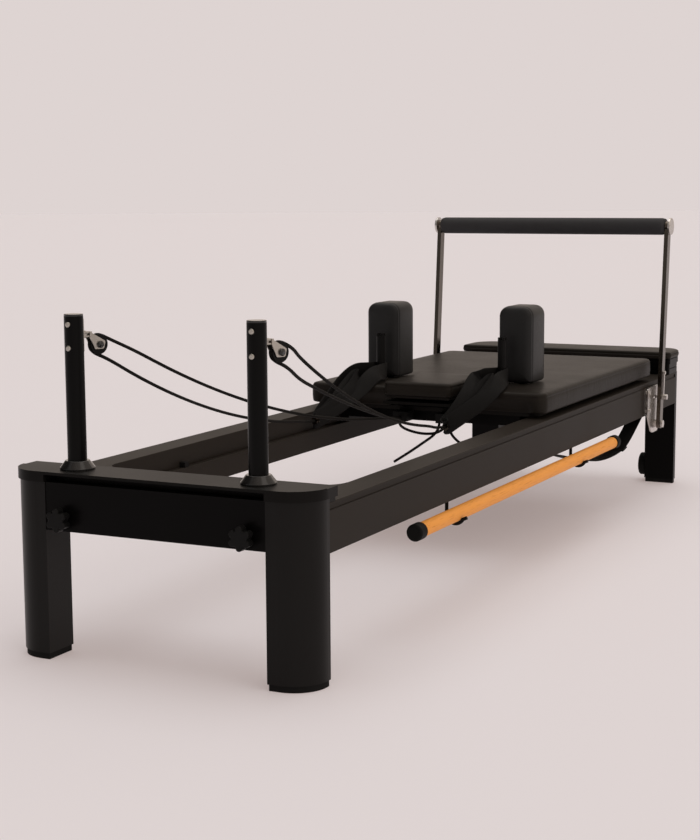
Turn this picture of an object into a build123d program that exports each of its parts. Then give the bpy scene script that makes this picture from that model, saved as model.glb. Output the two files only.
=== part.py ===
from build123d import *
import math
import os

# Pilates reformer, millimetres. +Z is up, +Y runs along the machine from the head end (rope posts)
# to the foot end (footbar), +X is the side that carries the wooden pole. The origin is on the floor
# under the middle of the machine.

# ---- overall frame
FRAME_LENGTH = 2544.0        # outer plane of the head legs to outer plane of the foot legs
FRAME_WIDTH = 680.0          # outer faces of the rails
RAIL_TOP = 351.0
RAIL_HEIGHT = 97.0
RAIL_WIDTH = 66.0            # upper part of the extrusion
TRACK_STEP = 16.0            # the wheel track stands this much further in
TRACK_TOP = 304.0
RAIL_WALL = 3.5
SIDE_GROOVE = (336.0, 346.0, 2.5)    # lower edge, upper edge, depth of the line along the side
EDGE_R = 1.5

# ---- legs
LEG_WIDTH = 93.0
LEG_DEPTH = 80.0
LEG_CORNER_R = 68.0
LEG_WALL = 4.0
LEG_PAD_HEIGHT = 12.7
LEG_PAD_INSET = 2.5
HEAD_LEG_TOP = 360.0

# ---- head end
BEAM_BOTTOM = 264.0
BEAM_SETBACK = 1.5
BEAM_WALL = 4.0
CAP_TOP = 381.0
CAP_PLATE = 6.0              # plate over the beam
CAP_OVERHANG = 4.0
CAP_DEPTH = 106.0
CAP_STRIP = 44.0             # lowered strip along the back edge
CAP_STRIP_DROP = 1.5
CAP_RIB_Y = 31.0             # front of the rib that carries the plate on the beam
CROSS_PLATE_END = 238.0
CROSS_PLATE_GUSSET = 50.0
CROSS_PLATE_THICK = 6.0

# ---- rope posts
POST_X = 205.0
POST_Y = 53.0                # behind the head leg plane
POST_OD = 38.0
POST_WALL = 3.0
POST_TOP = 684.0
POST_PLUG = 4.0
POST_LIFT = 50.0
BORE_FIT = 0.06              # radial clearance of a sliding or turning fit
GAP = 0.3                    # clearance between bodies that only pass each other
COLLAR_R = 35.0
COLLAR_NECK_R = 24.0
COLLAR_HEIGHT = 18.0
KNOB_Z = 290.0
KNOB_REACH = 27.0            # how far the clamp knob stands out in front of the legs
KNOB_R = 17.0
KNOB_LOBE_R = 7.0
KNOB_THICK = 18.0
STUD_R = 4.0
BOLT_Z = (668.0, 621.5)
BOLT_R = 3.0

# ---- pulleys
SWIVEL_Z = 645.0
SWIVEL_BACK = 34.0           # swivel axis behind the post axis
SWIVEL_YAW = 20.0            # how the blocks hang at rest
PULLEY_OUT = 32.0            # wheel axle from the swivel axis
PULLEY_DROP = 21.5
PULLEY_R = 20.0
PULLEY_GROOVE_R = 15.0
PULLEY_WIDTH = 12.0
CHEEK_THICK = 2.0
AXLE_R = 3.0

# ---- foot end
PLATFORM_TOP = 420.0
PLATFORM_PAD = 22.0
PLATFORM_BOARD = 15.0
PLATFORM_DEPTH = 162.0
PLATFORM_OVERHANG = 4.0
SPRING_BAR_FROM_FOOT = 140.0

# ---- footbar
PIVOT_FROM_FOOT = 337.0
PIVOT_Z = 225.0
PIVOT_R = 6.0
ARM_FROM_SIDE = 24.0         # centre of an arm outside the rail
ARM_THICK = 12.0
ARM_WIDTH = 28.0
ARM_LENGTH = 585.0           # pivot to grip axis
BAR_LEAN = 5.0               # towards the foot end at rest
BAR_TUBE_R = 16.0
BAR_TUBE_WALL = 2.5
GRIP_R = 25.0
LOCK_RADIUS = 80.0
LOCK_PIN_R = 4.0
LOCK_PULL = 8.0
INDEX_PLATE = 4.0

# ---- carriage
CARRIAGE_FROM_FOOT = 304.0   # back edge of the deck to the outer plane of the foot legs
DECK_LENGTH = 955.0
DECK_WIDTH = 660.0
DECK_TOP = 416.0
DECK_THICK = 53.0
DECK_CORNER_R = 26.0
BOARD_THICK = 10.5
BOARD_INSET = 30.0
TRAVEL = 800.0
WHEEL_R = 20.0
WHEEL_WIDTH = 11.0
WHEEL_AXLE_R = 5.0
CHASSIS_SIDE = 26.0
STOP_HEIGHT = 12.0
STOP_LENGTH = 16.0
CHASSIS_BOTTOM = 312.0

# ---- headrest, shoulder rests and pegs
HEADREST_WIDTH = 186.0
HEADREST_LENGTH = 240.0
HEADREST_FRONT = 45.0        # how far it stands out in front of the deck
HEADREST_TOP = 434.0
HEADREST_PAD = 36.0
HEADREST_BOARD = 6.0
NOTCH_GAP = 8.0
NOTCH_BACK_GAP = 17.0        # room for the back of the headrest as it tilts
HEADREST_PIVOT = 8.0         # ahead of the back of the pad
HINGE_R = 3.7
HINGE_PIN_R = 2.0
SHELF_Z = (376.0, 383.0)
REST_X = 190.0
REST_FRONT = 155.0           # behind the deck's front edge
REST_SIZE = (92.0, 118.0, 200.0)
REST_BOTTOM = 420.0
REST_STEM_R = 9.0
REST_LIFT = 50.0
PEG_X = 173.0
PEG_Y = 115.0                # behind the deck's front edge
PEG_R = 12.0
PEG_TOP = 543.0

# ---- springs
SPRING_X = (-160.0, -80.0, 0.0, 80.0, 160.0)
SPRING_Z = 294.0
SPRING_R = 11.0
SPRING_WALL = 3.0
SPRING_LENGTH = 480.0

# ---- pole, sling and transport wheels
POLE_R = 16.0
POLE_CAP_R = 18.5
POLE_FROM_SIDE = 7.0         # pole axis outside the rail
POLE_Z = 223.5
POLE_START = 448.0           # near end, behind the head leg plane
POLE_LENGTH = 1377.0
POLE_CAP_LENGTH = 30.0
HOOK_ROD_R = 4.0
HOOK_Y = (669.0, 1502.0)
SLING_FROM_SIDE = 41.0       # middle of the sling inside the rail's side
SLING_WIDTH = 42.0
SLING_THICK = 3.0
TRANSPORT_R = 35.0
TRANSPORT_WIDTH = 22.0
TRANSPORT_Z = 50.0
TRANSPORT_FROM_FOOT = 34.0
TRANSPORT_AXLE_R = 5.0

# ---- ropes and loops
ROPE_D = 7.0
ROPE_BORE_FIT = 0.6
CLEAT_X = 60.0
ROPE_TRACK_R = 19.0          # rope centre round the wheel
STRAP_WIDTH = 36.0
STRAP_THICK = 4.0

# ---- worked out
HALF_W = FRAME_WIDTH / 2
ARM_X = HALF_W + ARM_FROM_SIDE
POLE_X = HALF_W + POLE_FROM_SIDE
SLING_X = HALF_W - SLING_FROM_SIDE
HEAD_Y = -(FRAME_LENGTH + PLATFORM_OVERHANG - KNOB_REACH) / 2
FOOT_Y = HEAD_Y + FRAME_LENGTH
RAIL_BOTTOM = RAIL_TOP - RAIL_HEIGHT
RAIL_INNER = HALF_W - RAIL_WIDTH
TRACK_INNER = RAIL_INNER - TRACK_STEP
LEG_INNER = HALF_W - LEG_WIDTH
POST_R = POST_OD / 2
DECK_BACK = FOOT_Y - CARRIAGE_FROM_FOOT
DECK_FRONT = DECK_BACK - DECK_LENGTH
DECK_BOTTOM = DECK_TOP - DECK_THICK
BOARD_BOTTOM = DECK_BOTTOM - BOARD_THICK
PIVOT_Y = FOOT_Y - PIVOT_FROM_FOOT
WHEEL_Z = TRACK_TOP + WHEEL_R + GAP
WHEEL_X = TRACK_INNER + 2 + WHEEL_WIDTH / 2
CHASSIS_OUTER = TRACK_INNER - 4
REST_Y = DECK_FRONT + REST_FRONT + REST_SIZE[1] / 2
HEADREST_Y = DECK_FRONT - HEADREST_FRONT
HEADREST_BACK = HEADREST_Y + HEADREST_LENGTH
HEADREST_BOTTOM = HEADREST_TOP - HEADREST_PAD
SIDES = {"left": -1, "right": 1}
ENDS = {"head": 0, "foot": 1}


def block(x0, x1, y0, y1, z0, z1):
    """Box between two corners."""
    size = (abs(x1 - x0), abs(y1 - y0), abs(z1 - z0))
    return Pos((x0 + x1) / 2, (y0 + y1) / 2, (z0 + z1) / 2) * Box(*size)


def rod_x(x0, x1, y, z, r):
    return Pos((x0 + x1) / 2, y, z) * Rot(0, 90, 0) * Cylinder(r, abs(x1 - x0))


def rod_y(x, y0, y1, z, r):
    return Pos(x, (y0 + y1) / 2, z) * Rot(90, 0, 0) * Cylinder(r, abs(y1 - y0))


def rod_z(x, y, z0, z1, r):
    return Pos(x, y, (z0 + z1) / 2) * Cylinder(r, abs(z1 - z0))


def outline(points, rounds=()):
    """Flat face through the points, with each named corner rounded: rounds is (point, radius)."""
    face = make_face(Polyline(*points, close=True))
    for point, radius in rounds:
        corner = face.vertices().sort_by_distance((point[0], point[1], 0))[0]
        face = fillet(corner, radius)
    return face


def slab(face, z0, z1):
    """The face, pushed up from z0 to z1."""
    return extrude(Pos(0, 0, z0) * face, amount=z1 - z0, dir=(0, 0, 1))


def along_x(face, x0, x1):
    """A face drawn as (y, z), stood up and pushed from x0 to x1."""
    return extrude(Plane(origin=(x0, 0, 0), x_dir=(0, 1, 0), z_dir=(1, 0, 0)) * face, amount=x1 - x0)


def along_y(face, y0, y1):
    """A face drawn as (x, z), stood up and pushed from y0 to y1."""
    plane = Plane(origin=(0, y0, 0), x_dir=(1, 0, 0), z_dir=(0, -1, 0))
    return extrude(plane * face, amount=-(y1 - y0))


def end_y(end, distance):
    """A place measured inwards from the outer plane of the legs at one end."""
    return HEAD_Y + distance if end == 0 else FOOT_Y - distance


# ------------------------------------------------------------------ frame

def leg_face(side, end, inset=0.0):
    """D-shaped section: the outer corner has a big radius."""
    x0 = side * (LEG_INNER + inset)
    x1 = side * (HALF_W - inset)
    y0 = end_y(end, inset)
    y1 = end_y(end, LEG_DEPTH - inset)
    points = [(x0, y0), (x1, y0), (x1, y1), (x0, y1)]
    return outline(points, [((x1, y0), LEG_CORNER_R - inset)])


def leg(side, end):
    top = HEAD_LEG_TOP if end == 0 else RAIL_TOP
    shell = slab(leg_face(side, end), LEG_PAD_HEIGHT, top)
    hollow = slab(leg_face(side, end, LEG_WALL), LEG_PAD_HEIGHT - 1, top + 1)
    return shell - hollow


def leg_pads():
    pads = [slab(leg_face(s, e, LEG_PAD_INSET), 0, LEG_PAD_HEIGHT) for s in SIDES.values() for e in ENDS.values()]
    return Compound(children=pads)


def rail(side):
    """Extrusion with the wheel track as a step on its inner side and two sealed chambers."""
    low, high, deep = SIDE_GROOVE
    points = [
        (HALF_W, RAIL_BOTTOM), (HALF_W, low), (HALF_W - deep, low), (HALF_W - deep, high),
        (HALF_W, high), (HALF_W, RAIL_TOP), (RAIL_INNER, RAIL_TOP), (RAIL_INNER, TRACK_TOP),
        (TRACK_INNER, TRACK_TOP), (TRACK_INNER, RAIL_BOTTOM),
    ]
    rounded = [points[i] for i in (0, 5, 6, 8, 9)]
    section = outline([(side * x, z) for x, z in points], [((side * x, z), EDGE_R) for x, z in rounded])
    y0 = HEAD_Y + LEG_DEPTH
    y1 = FOOT_Y - LEG_DEPTH
    body = along_y(section, y0, y1)
    inside = HALF_W - deep - RAIL_WALL
    upper = block(side * (RAIL_INNER + RAIL_WALL), side * inside, y0 - 1, y1 + 1, TRACK_TOP, RAIL_TOP - RAIL_WALL)
    lower = block(side * (TRACK_INNER + RAIL_WALL), side * inside, y0 - 1, y1 + 1,
                  RAIL_BOTTOM + RAIL_WALL, TRACK_TOP - RAIL_WALL)
    return body - upper - lower


def beam(end, top):
    """Box beam between two legs."""
    y0 = end_y(end, BEAM_SETBACK)
    y1 = end_y(end, LEG_DEPTH)
    w0 = end_y(end, BEAM_SETBACK + BEAM_WALL)
    w1 = end_y(end, LEG_DEPTH - BEAM_WALL)
    shell = block(-LEG_INNER, LEG_INNER, y0, y1, BEAM_BOTTOM, top)
    return shell - block(-LEG_INNER - 1, LEG_INNER + 1, w0, w1, BEAM_BOTTOM + BEAM_WALL, top - BEAM_WALL)


def post_bore(side, z0, z1):
    return rod_z(side * POST_X, HEAD_Y + POST_Y, z0, z1, POST_R + BORE_FIT)


def head_beam():
    body = beam(0, HEAD_LEG_TOP)
    for side in SIDES.values():
        body -= post_bore(side, HEAD_LEG_TOP - BEAM_WALL - 1, HEAD_LEG_TOP + 1)
        front = HEAD_Y + BEAM_SETBACK
        body -= rod_y(side * POST_X, front - 1, front + BEAM_WALL + 1, KNOB_Z, STUD_R + BORE_FIT)
    return body


def cap_face(inset=0.0, back=CAP_DEPTH):
    """Plan of the head cap, its front corners following the legs."""
    x = HALF_W + CAP_OVERHANG - inset
    y0 = HEAD_Y - CAP_OVERHANG + inset
    y1 = HEAD_Y + back - inset
    r = LEG_CORNER_R + CAP_OVERHANG - inset
    return outline([(-x, y0), (x, y0), (x, y1), (-x, y1)], [((-x, y0), r), ((x, y0), r)])


def head_cap():
    """Thin over the beam, thick over the legs, with a filler down to the rails behind them."""
    body = slab(cap_face(), HEAD_LEG_TOP, CAP_TOP)
    recess_front = HEAD_Y - CAP_OVERHANG - 1
    rib = HEAD_Y + CAP_RIB_Y
    body -= block(-LEG_INNER, LEG_INNER, recess_front, rib, HEAD_LEG_TOP - 1, CAP_TOP - CAP_PLATE)
    back = HEAD_Y + LEG_DEPTH
    body -= block(-LEG_INNER, LEG_INNER, back, back + CAP_DEPTH, HEAD_LEG_TOP - 1, CAP_TOP - CAP_PLATE)
    step = HEAD_Y + CAP_DEPTH - CAP_STRIP
    body -= block(-HALF_W - 9, HALF_W + 9, step, step + CAP_DEPTH, CAP_TOP - CAP_STRIP_DROP, CAP_TOP + 1)
    for side in SIDES.values():
        body += block(side * RAIL_INNER, side * HALF_W, back, HEAD_Y + CAP_DEPTH - 2, RAIL_TOP, HEAD_LEG_TOP + 1)
        body -= post_bore(side, HEAD_LEG_TOP - 1, CAP_TOP + 1)
    return body


def head_cross_plate():
    """Sheet between the rails behind the head beam, its free edge rounded into them."""
    y0 = HEAD_Y + LEG_DEPTH
    y1 = HEAD_Y + CROSS_PLATE_END + CROSS_PLATE_GUSSET
    z0 = RAIL_TOP - CROSS_PLATE_THICK
    plate = block(-RAIL_INNER, RAIL_INNER, y0, y1, z0, RAIL_TOP)
    edge = HEAD_Y + CROSS_PLATE_END
    x = RAIL_INNER
    far = y1 + 50
    opening = outline([(-x, edge), (x, edge), (x, far), (-x, far)],
                      [((-x, edge), CROSS_PLATE_GUSSET), ((x, edge), CROSS_PLATE_GUSSET)])
    return plate - slab(opening, z0 - 1, RAIL_TOP + 1)


def platform_face(inset):
    x = HALF_W + PLATFORM_OVERHANG - inset
    y1 = FOOT_Y + PLATFORM_OVERHANG - inset
    y0 = y1 - PLATFORM_DEPTH + 2 * inset
    r = LEG_CORNER_R + PLATFORM_OVERHANG - inset
    rounds = [((-x, y1), r), ((x, y1), r), ((-x, y0), 10), ((x, y0), 10)]
    return outline([(-x, y0), (x, y0), (x, y1), (-x, y1)], rounds)


def platform_board():
    """Stepped base of the standing platform: apron, shadow groove and board."""
    under = PLATFORM_TOP - PLATFORM_PAD
    body = slab(platform_face(5), RAIL_TOP, under - PLATFORM_BOARD)
    body += slab(platform_face(2), under - PLATFORM_BOARD, under)
    middle = (RAIL_TOP + under - PLATFORM_BOARD) / 2
    ring = slab(platform_face(4), middle, middle + 3) - slab(platform_face(8), middle - 1, middle + 4)
    return body - ring


def platform_pad():
    body = slab(platform_face(0), PLATFORM_TOP - PLATFORM_PAD, PLATFORM_TOP)
    return fillet(body.faces().sort_by(Axis.Z)[-1].edges(), 7)


# ------------------------------------------------------------------ rope posts

def post(side):
    """Tube that slides in the cap and the beam, drilled for the two bolts of the pulley mount."""
    y = HEAD_Y + POST_Y
    bottom = BEAM_BOTTOM + BEAM_WALL + GAP
    body = rod_z(side * POST_X, y, bottom, POST_TOP, POST_R)
    body -= rod_z(side * POST_X, y, bottom - 1, POST_TOP + 1, POST_R - POST_WALL)
    for z in BOLT_Z:
        body -= rod_y(side * POST_X, y - POST_OD, y + POST_OD, z, BOLT_R)
    return body


def post_plug(side):
    y = HEAD_Y + POST_Y
    head = rod_z(side * POST_X, y, POST_TOP, POST_TOP + POST_PLUG, POST_R)
    head = fillet(head.faces().sort_by(Axis.Z)[-1].edges(), 1.5)
    return head + rod_z(side * POST_X, y, POST_TOP - 9, POST_TOP, POST_R - POST_WALL)


def post_collars():
    """Turned flanges that seat the posts on the cap."""
    rim = COLLAR_HEIGHT * 0.2
    half = [(0, 0), (COLLAR_R, 0), (COLLAR_R, rim), (COLLAR_NECK_R, COLLAR_HEIGHT), (0, COLLAR_HEIGHT)]
    section = Plane.XZ * outline(half, [((COLLAR_R, rim), 2), ((COLLAR_NECK_R, COLLAR_HEIGHT), 2)])
    turned = revolve(section, Axis.Z)
    both = []
    for side in SIDES.values():
        ring = Pos(side * POST_X, HEAD_Y + POST_Y, CAP_TOP) * turned
        both.append(ring - post_bore(side, CAP_TOP - 1, CAP_TOP + COLLAR_HEIGHT + 1))
    return Compound(children=both)


def post_knob(side):
    """Six-lobed clamp knob with its stud, which stops just short of the post."""
    face = Circle(KNOB_R)
    for k in range(6):
        a = math.radians(60 * k + 30)
        face += Pos(KNOB_R * math.cos(a), KNOB_R * math.sin(a)) * Circle(KNOB_LOBE_R)
    grip = fillet(extrude(face, amount=KNOB_THICK).faces().sort_by(Axis.Z)[-1].edges(), 2)
    y0 = HEAD_Y - KNOB_REACH
    y1 = y0 + KNOB_THICK
    body = Plane(origin=(side * POST_X, y1, KNOB_Z), x_dir=(1, 0, 0), z_dir=(0, -1, 0)) * grip
    body += rod_y(side * POST_X, y1, HEAD_Y + BEAM_SETBACK - GAP, KNOB_Z, 11)
    body += rod_y(side * POST_X, y1, HEAD_Y + POST_Y - POST_R - GAP, KNOB_Z, STUD_R)
    return body


def swivel_y():
    return HEAD_Y + POST_Y + SWIVEL_BACK


def pulley_mount(side):
    """Back plate with the swivel lug, and the two bolts that hold it to the post."""
    x = side * POST_X
    back = HEAD_Y + POST_Y + POST_R
    plate = block(x - 8, x + 8, back, back + 4, min(BOLT_Z) - 9, max(BOLT_Z) + 9)
    lug = block(x - 7, x + 7, back + 4, swivel_y(), SWIVEL_Z - 2, SWIVEL_Z + 2)
    lug += rod_z(x, swivel_y(), SWIVEL_Z - 2, SWIVEL_Z + 2, 7)
    lug -= rod_z(x, swivel_y(), SWIVEL_Z - 3, SWIVEL_Z + 3, AXLE_R + BORE_FIT)
    bracket = plate + lug
    pieces = []
    for z in BOLT_Z:
        bracket -= rod_y(x, back - 1, back + 5, z, BOLT_R)
        front = back - POST_OD
        bolt = rod_y(x, front - 2.5, back + 7, z, BOLT_R)
        dome = fillet(rod_y(x, front - 3.2, front, z, 5.5).faces().sort_by(Axis.Y)[0].edges(), 2)
        nut = rod_y(x, back + 4, back + 8, z, 5)
        pieces.append(bolt + dome + nut)
    return Compound(children=[bracket] + pieces)


def hang(solid, side):
    """Place a piece drawn about the swivel axis where the block hangs at rest."""
    return Pos(side * POST_X, swivel_y(), SWIVEL_Z) * Rot(0, 0, -SWIVEL_YAW) * solid


def pulley_block(side):
    """Fork on the swivel lug, two cheek plates and the wheel's axle."""
    inner = PULLEY_WIDTH / 2 + 0.6
    outer = inner + CHEEK_THICK
    ear = 2 + GAP
    fork = block(-outer, outer, 8, 13, -ear - 3, ear + 3)
    fork += rod_z(0, 0, -ear - 5, ear + 5, AXLE_R)
    for z0, z1 in ((ear, ear + 3), (-ear - 3, -ear)):
        fork += block(-7, 7, 0, 12, z0, z1) + rod_z(0, 0, z0, z1, 7)
    shape = [(8, 5.3), (8, -5.3), (PULLEY_OUT - 12, -PULLEY_DROP - 9), (PULLEY_OUT + 9, -PULLEY_DROP - 9),
             (PULLEY_OUT + 13, -PULLEY_DROP + 6)]
    cheek = outline(shape, [(shape[i], 4) for i in (2, 3, 4)])
    for x0, x1 in ((-outer, -inner), (inner, outer)):
        fork += along_x(cheek, x0, x1)
    fork += rod_x(-outer - 2.5, outer + 2.5, PULLEY_OUT, -PULLEY_DROP, AXLE_R)
    return hang(fork, side)


def pulley_wheel(side):
    w = PULLEY_WIDTH / 2
    r = PULLEY_R
    g = PULLEY_GROOVE_R
    half = [(AXLE_R + BORE_FIT, -w), (r, -w), (r, -w + 1.2), (g, -2), (g, 2), (r, w - 1.2), (r, w),
            (AXLE_R + BORE_FIT, w)]
    wheel = revolve(Plane.XZ * outline(half), Axis.Z)
    return hang(Pos(0, PULLEY_OUT, -PULLEY_DROP) * Rot(0, 90, 0) * wheel, side)


# ------------------------------------------------------------------ footbar

def lean(solid):
    """Tilt a piece drawn upright about the footbar's pivot axis."""
    return Pos(0, PIVOT_Y, PIVOT_Z) * Rot(-BAR_LEAN, 0, 0) * solid


def footbar_frame():
    """Two flat arms welded to the cross tube, bored for the pivots and the lock pins."""
    body = rod_x(-ARM_X, ARM_X, 0, ARM_LENGTH, BAR_TUBE_R)
    for side in SIDES.values():
        x0 = side * (ARM_X - ARM_THICK / 2)
        x1 = side * (ARM_X + ARM_THICK / 2)
        arm = block(x0, x1, -ARM_WIDTH / 2, ARM_WIDTH / 2, 0, ARM_LENGTH) + rod_x(x0, x1, 0, 0, ARM_WIDTH / 2)
        body += arm + rod_x(x0, x1, 0, ARM_LENGTH, BAR_TUBE_R)
    body -= rod_x(-ARM_X - ARM_THICK, ARM_X + ARM_THICK, 0, ARM_LENGTH, BAR_TUBE_R - BAR_TUBE_WALL)
    for side in SIDES.values():
        x0 = side * (ARM_X - ARM_THICK)
        x1 = side * (ARM_X + ARM_THICK)
        body -= rod_x(x0, x1, 0, 0, PIVOT_R + BORE_FIT)
        body -= rod_x(x0, x1, 0, LOCK_RADIUS, LOCK_PIN_R + BORE_FIT)
    return lean(body)


def footbar_grip():
    """Foam sleeve between the arms."""
    x = ARM_X - ARM_THICK / 2
    sleeve = rod_x(-x, x, 0, ARM_LENGTH, GRIP_R) - rod_x(-x - 1, x + 1, 0, ARM_LENGTH, BAR_TUBE_R)
    return lean(sleeve)


def footbar_end_caps():
    x0 = ARM_X + ARM_THICK / 2
    caps = []
    for side in SIDES.values():
        cap = rod_x(side * x0, side * (x0 + 7), 0, ARM_LENGTH, GRIP_R)
        far = cap.faces().sort_by(Axis.X)[-1 if side > 0 else 0]
        caps.append(lean(fillet(far.edges(), 3)))
    return Compound(children=caps)


def footbar_bracket(side):
    """Plate on the rail, index plate with its arc slot, spacers and the pivot pin."""
    back0 = side * HALF_W
    back1 = side * (HALF_W + 4)
    plate0 = side * (HALF_W + 8)
    plate1 = side * (HALF_W + 8 + INDEX_PLATE)
    base = block(back0, back1, -78, 44, 34, 112)
    face = outline([(-82, 112), (-82, 34), (-40, -24), (20, -24), (44, 0), (44, 96), (30, 112)],
                   [((-82, 112), 10), ((-82, 34), 36), ((-40, -24), 30), ((20, -24), 16), ((44, 0), 16),
                    ((44, 96), 10), ((30, 112), 10)])
    index = along_x(face, min(plate0, plate1), max(plate0, plate1))
    slot_r = LOCK_PIN_R + 0.5
    ring = rod_x(plate0 - side, plate1 + side, 0, 0, LOCK_RADIUS + slot_r)
    ring -= rod_x(plate0 - 2 * side, plate1 + 2 * side, 0, 0, LOCK_RADIUS - slot_r)
    reach = LOCK_RADIUS * 2
    limit = math.radians(42)
    wedge = outline([(0, 0), (-reach * math.sin(limit), reach * math.cos(limit)), (0, reach), (reach, reach), (reach, 0)])
    slot = ring & along_x(wedge, min(plate0, plate1) - 1, max(plate0, plate1) + 1)
    end = rod_x(plate0 - side, plate1 + side, -LOCK_RADIUS * math.sin(limit), LOCK_RADIUS * math.cos(limit), slot_r)
    index -= slot + end
    body = base + index
    for y, z in ((-66, 98), (-66, 46), (30, 46)):
        body += rod_x(back1, plate0, y, z, 7)
        body += rod_x(plate1, plate1 + side * 3, y, z, 5)
    arm_in = side * (ARM_X - ARM_THICK / 2 - GAP)
    arm_out = side * (ARM_X + ARM_THICK / 2)
    body += rod_x(plate0, arm_in, 0, 0, 11)
    body += rod_x(plate0, arm_out + side * 6, 0, 0, PIVOT_R)
    body += rod_x(arm_out + side * GAP, arm_out + side * 6, 0, 0, 11)
    return Pos(0, PIVOT_Y, PIVOT_Z) * body


def footbar_lock(side):
    """Pin that sits in the index slot, its knob, and the flat pull strip above it."""
    tip = side * (HALF_W + 8 + GAP)
    outer = side * (ARM_X + ARM_THICK / 2)
    pin = rod_x(tip, outer + side * 8, 0, LOCK_RADIUS, LOCK_PIN_R)
    pin += rod_x(outer + side * GAP, outer + side * 15, 0, LOCK_RADIUS, 8)
    x0 = outer + side * 1.5
    x1 = outer + side * 4.5
    pin += block(x0, x1, -4, 4, LOCK_RADIUS, LOCK_RADIUS + 72)
    pin += rod_x(x0, outer + side * 7, 0, LOCK_RADIUS + 72, 5)
    return lean(pin)


# ------------------------------------------------------------------ carriage

def deck_face(inset, notch):
    """Plan of the deck with the headrest notch in its front edge."""
    x = DECK_WIDTH / 2 - inset
    y0 = DECK_FRONT + inset
    y1 = DECK_BACK - inset
    r = DECK_CORNER_R
    face = outline([(-x, y0), (x, y0), (x, y1), (-x, y1)],
                   [((-x, y0), r), ((x, y0), r), ((x, y1), r), ((-x, y1), r)])
    if notch:
        n = HEADREST_WIDTH / 2 + NOTCH_GAP
        back = HEADREST_BACK + NOTCH_BACK_GAP
        far = DECK_FRONT - HEADREST_FRONT
        face -= outline([(-n, far), (n, far), (n, back), (-n, back)], [((-n, back), 12), ((n, back), 12)])
    return face


def rest_holes(body):
    """Bores that the shoulder-rest stems slide in."""
    for side in SIDES.values():
        body -= rod_z(side * REST_X, REST_Y, BOARD_BOTTOM - 1, DECK_TOP + 1, REST_STEM_R + BORE_FIT)
    return body


def carriage_pad():
    body = slab(deck_face(0, True), DECK_BOTTOM, DECK_TOP)
    edge = DECK_WIDTH / 2 - 34
    under = block(-edge, edge, DECK_FRONT - 1, DECK_FRONT + 24, DECK_BOTTOM - 1, DECK_BOTTOM + 21)
    return rest_holes(body - under)


def carriage_board():
    return rest_holes(slab(deck_face(BOARD_INSET, False), BOARD_BOTTOM, DECK_BOTTOM))


def chassis_members():
    """Front, middle and rear cross members, each as (front, back) in Y."""
    return ((DECK_FRONT + 35, DECK_FRONT + 75), (DECK_FRONT + 500, DECK_FRONT + 540), (DECK_BACK - 75, DECK_BACK - 35))


def carriage_frame():
    """Two side members, three cross members, the spring plate and the four stub axles."""
    y0 = DECK_FRONT + 30
    y1 = DECK_BACK - 2
    inner = CHASSIS_OUTER - CHASSIS_SIDE
    body = None
    for side in SIDES.values():
        beam_side = block(side * inner, side * CHASSIS_OUTER, y0, y1, CHASSIS_BOTTOM, BOARD_BOTTOM)
        body = beam_side if body is None else body + beam_side
    for front, back in chassis_members():
        body += block(-inner - 1, inner + 1, front, back, CHASSIS_BOTTOM + 14, BOARD_BOTTOM)
    plate_y = spring_front()
    body += block(-190, 190, plate_y - 6, plate_y, SPRING_Z - 16, CHASSIS_BOTTOM + 30)
    body += block(-190, 190, plate_y - 40, plate_y, CHASSIS_BOTTOM + 24, CHASSIS_BOTTOM + 30)
    body += block(-inner - 1, inner + 1, plate_y - 40, plate_y, CHASSIS_BOTTOM + 26, BOARD_BOTTOM)
    for side in SIDES.values():
        for y in wheel_places():
            body += rod_x(side * (CHASSIS_OUTER - 8), side * (WHEEL_X + WHEEL_WIDTH / 2), y, WHEEL_Z, WHEEL_AXLE_R)
            body += rod_x(side * CHASSIS_OUTER, side * (WHEEL_X - WHEEL_WIDTH / 2 - GAP), y, WHEEL_Z, 9)
    return body


def wheel_places():
    return (DECK_FRONT + 90, DECK_BACK - 90)


def carriage_wheels(y):
    """A pair of track wheels that share one axis."""
    pair = []
    for side in SIDES.values():
        x0 = side * (WHEEL_X - WHEEL_WIDTH / 2)
        x1 = side * (WHEEL_X + WHEEL_WIDTH / 2)
        tread = rod_x(x0, x1, y, WHEEL_Z, WHEEL_R)
        tread = chamfer(tread.edges().filter_by(GeomType.CIRCLE), 1.2)
        pair.append(tread - rod_x(x0 - 1, x0 + side * 60, y, WHEEL_Z, WHEEL_AXLE_R + BORE_FIT)
                    - rod_x(x1 - 30, x1 + 30, y, WHEEL_Z, WHEEL_AXLE_R + BORE_FIT))
    return Compound(children=pair)


def carriage_stops():
    """Rubber blocks on the tracks that the wheels meet at both ends of the travel."""
    front, rear = wheel_places()
    reach = math.sqrt(WHEEL_R ** 2 - (WHEEL_R + GAP - STOP_HEIGHT) ** 2) + GAP
    pieces = []
    for side in SIDES.values():
        for y0 in (rear + reach, front - TRAVEL - reach - STOP_LENGTH):
            x0 = side * (TRACK_INNER + EDGE_R)
            pieces.append(block(x0, side * RAIL_INNER, y0, y0 + STOP_LENGTH, TRACK_TOP, TRACK_TOP + STOP_HEIGHT))
    return Compound(children=pieces)


def hinge_axis():
    return HEADREST_BACK - HEADREST_PIVOT, SHELF_Z[1] + HINGE_R + GAP


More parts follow.
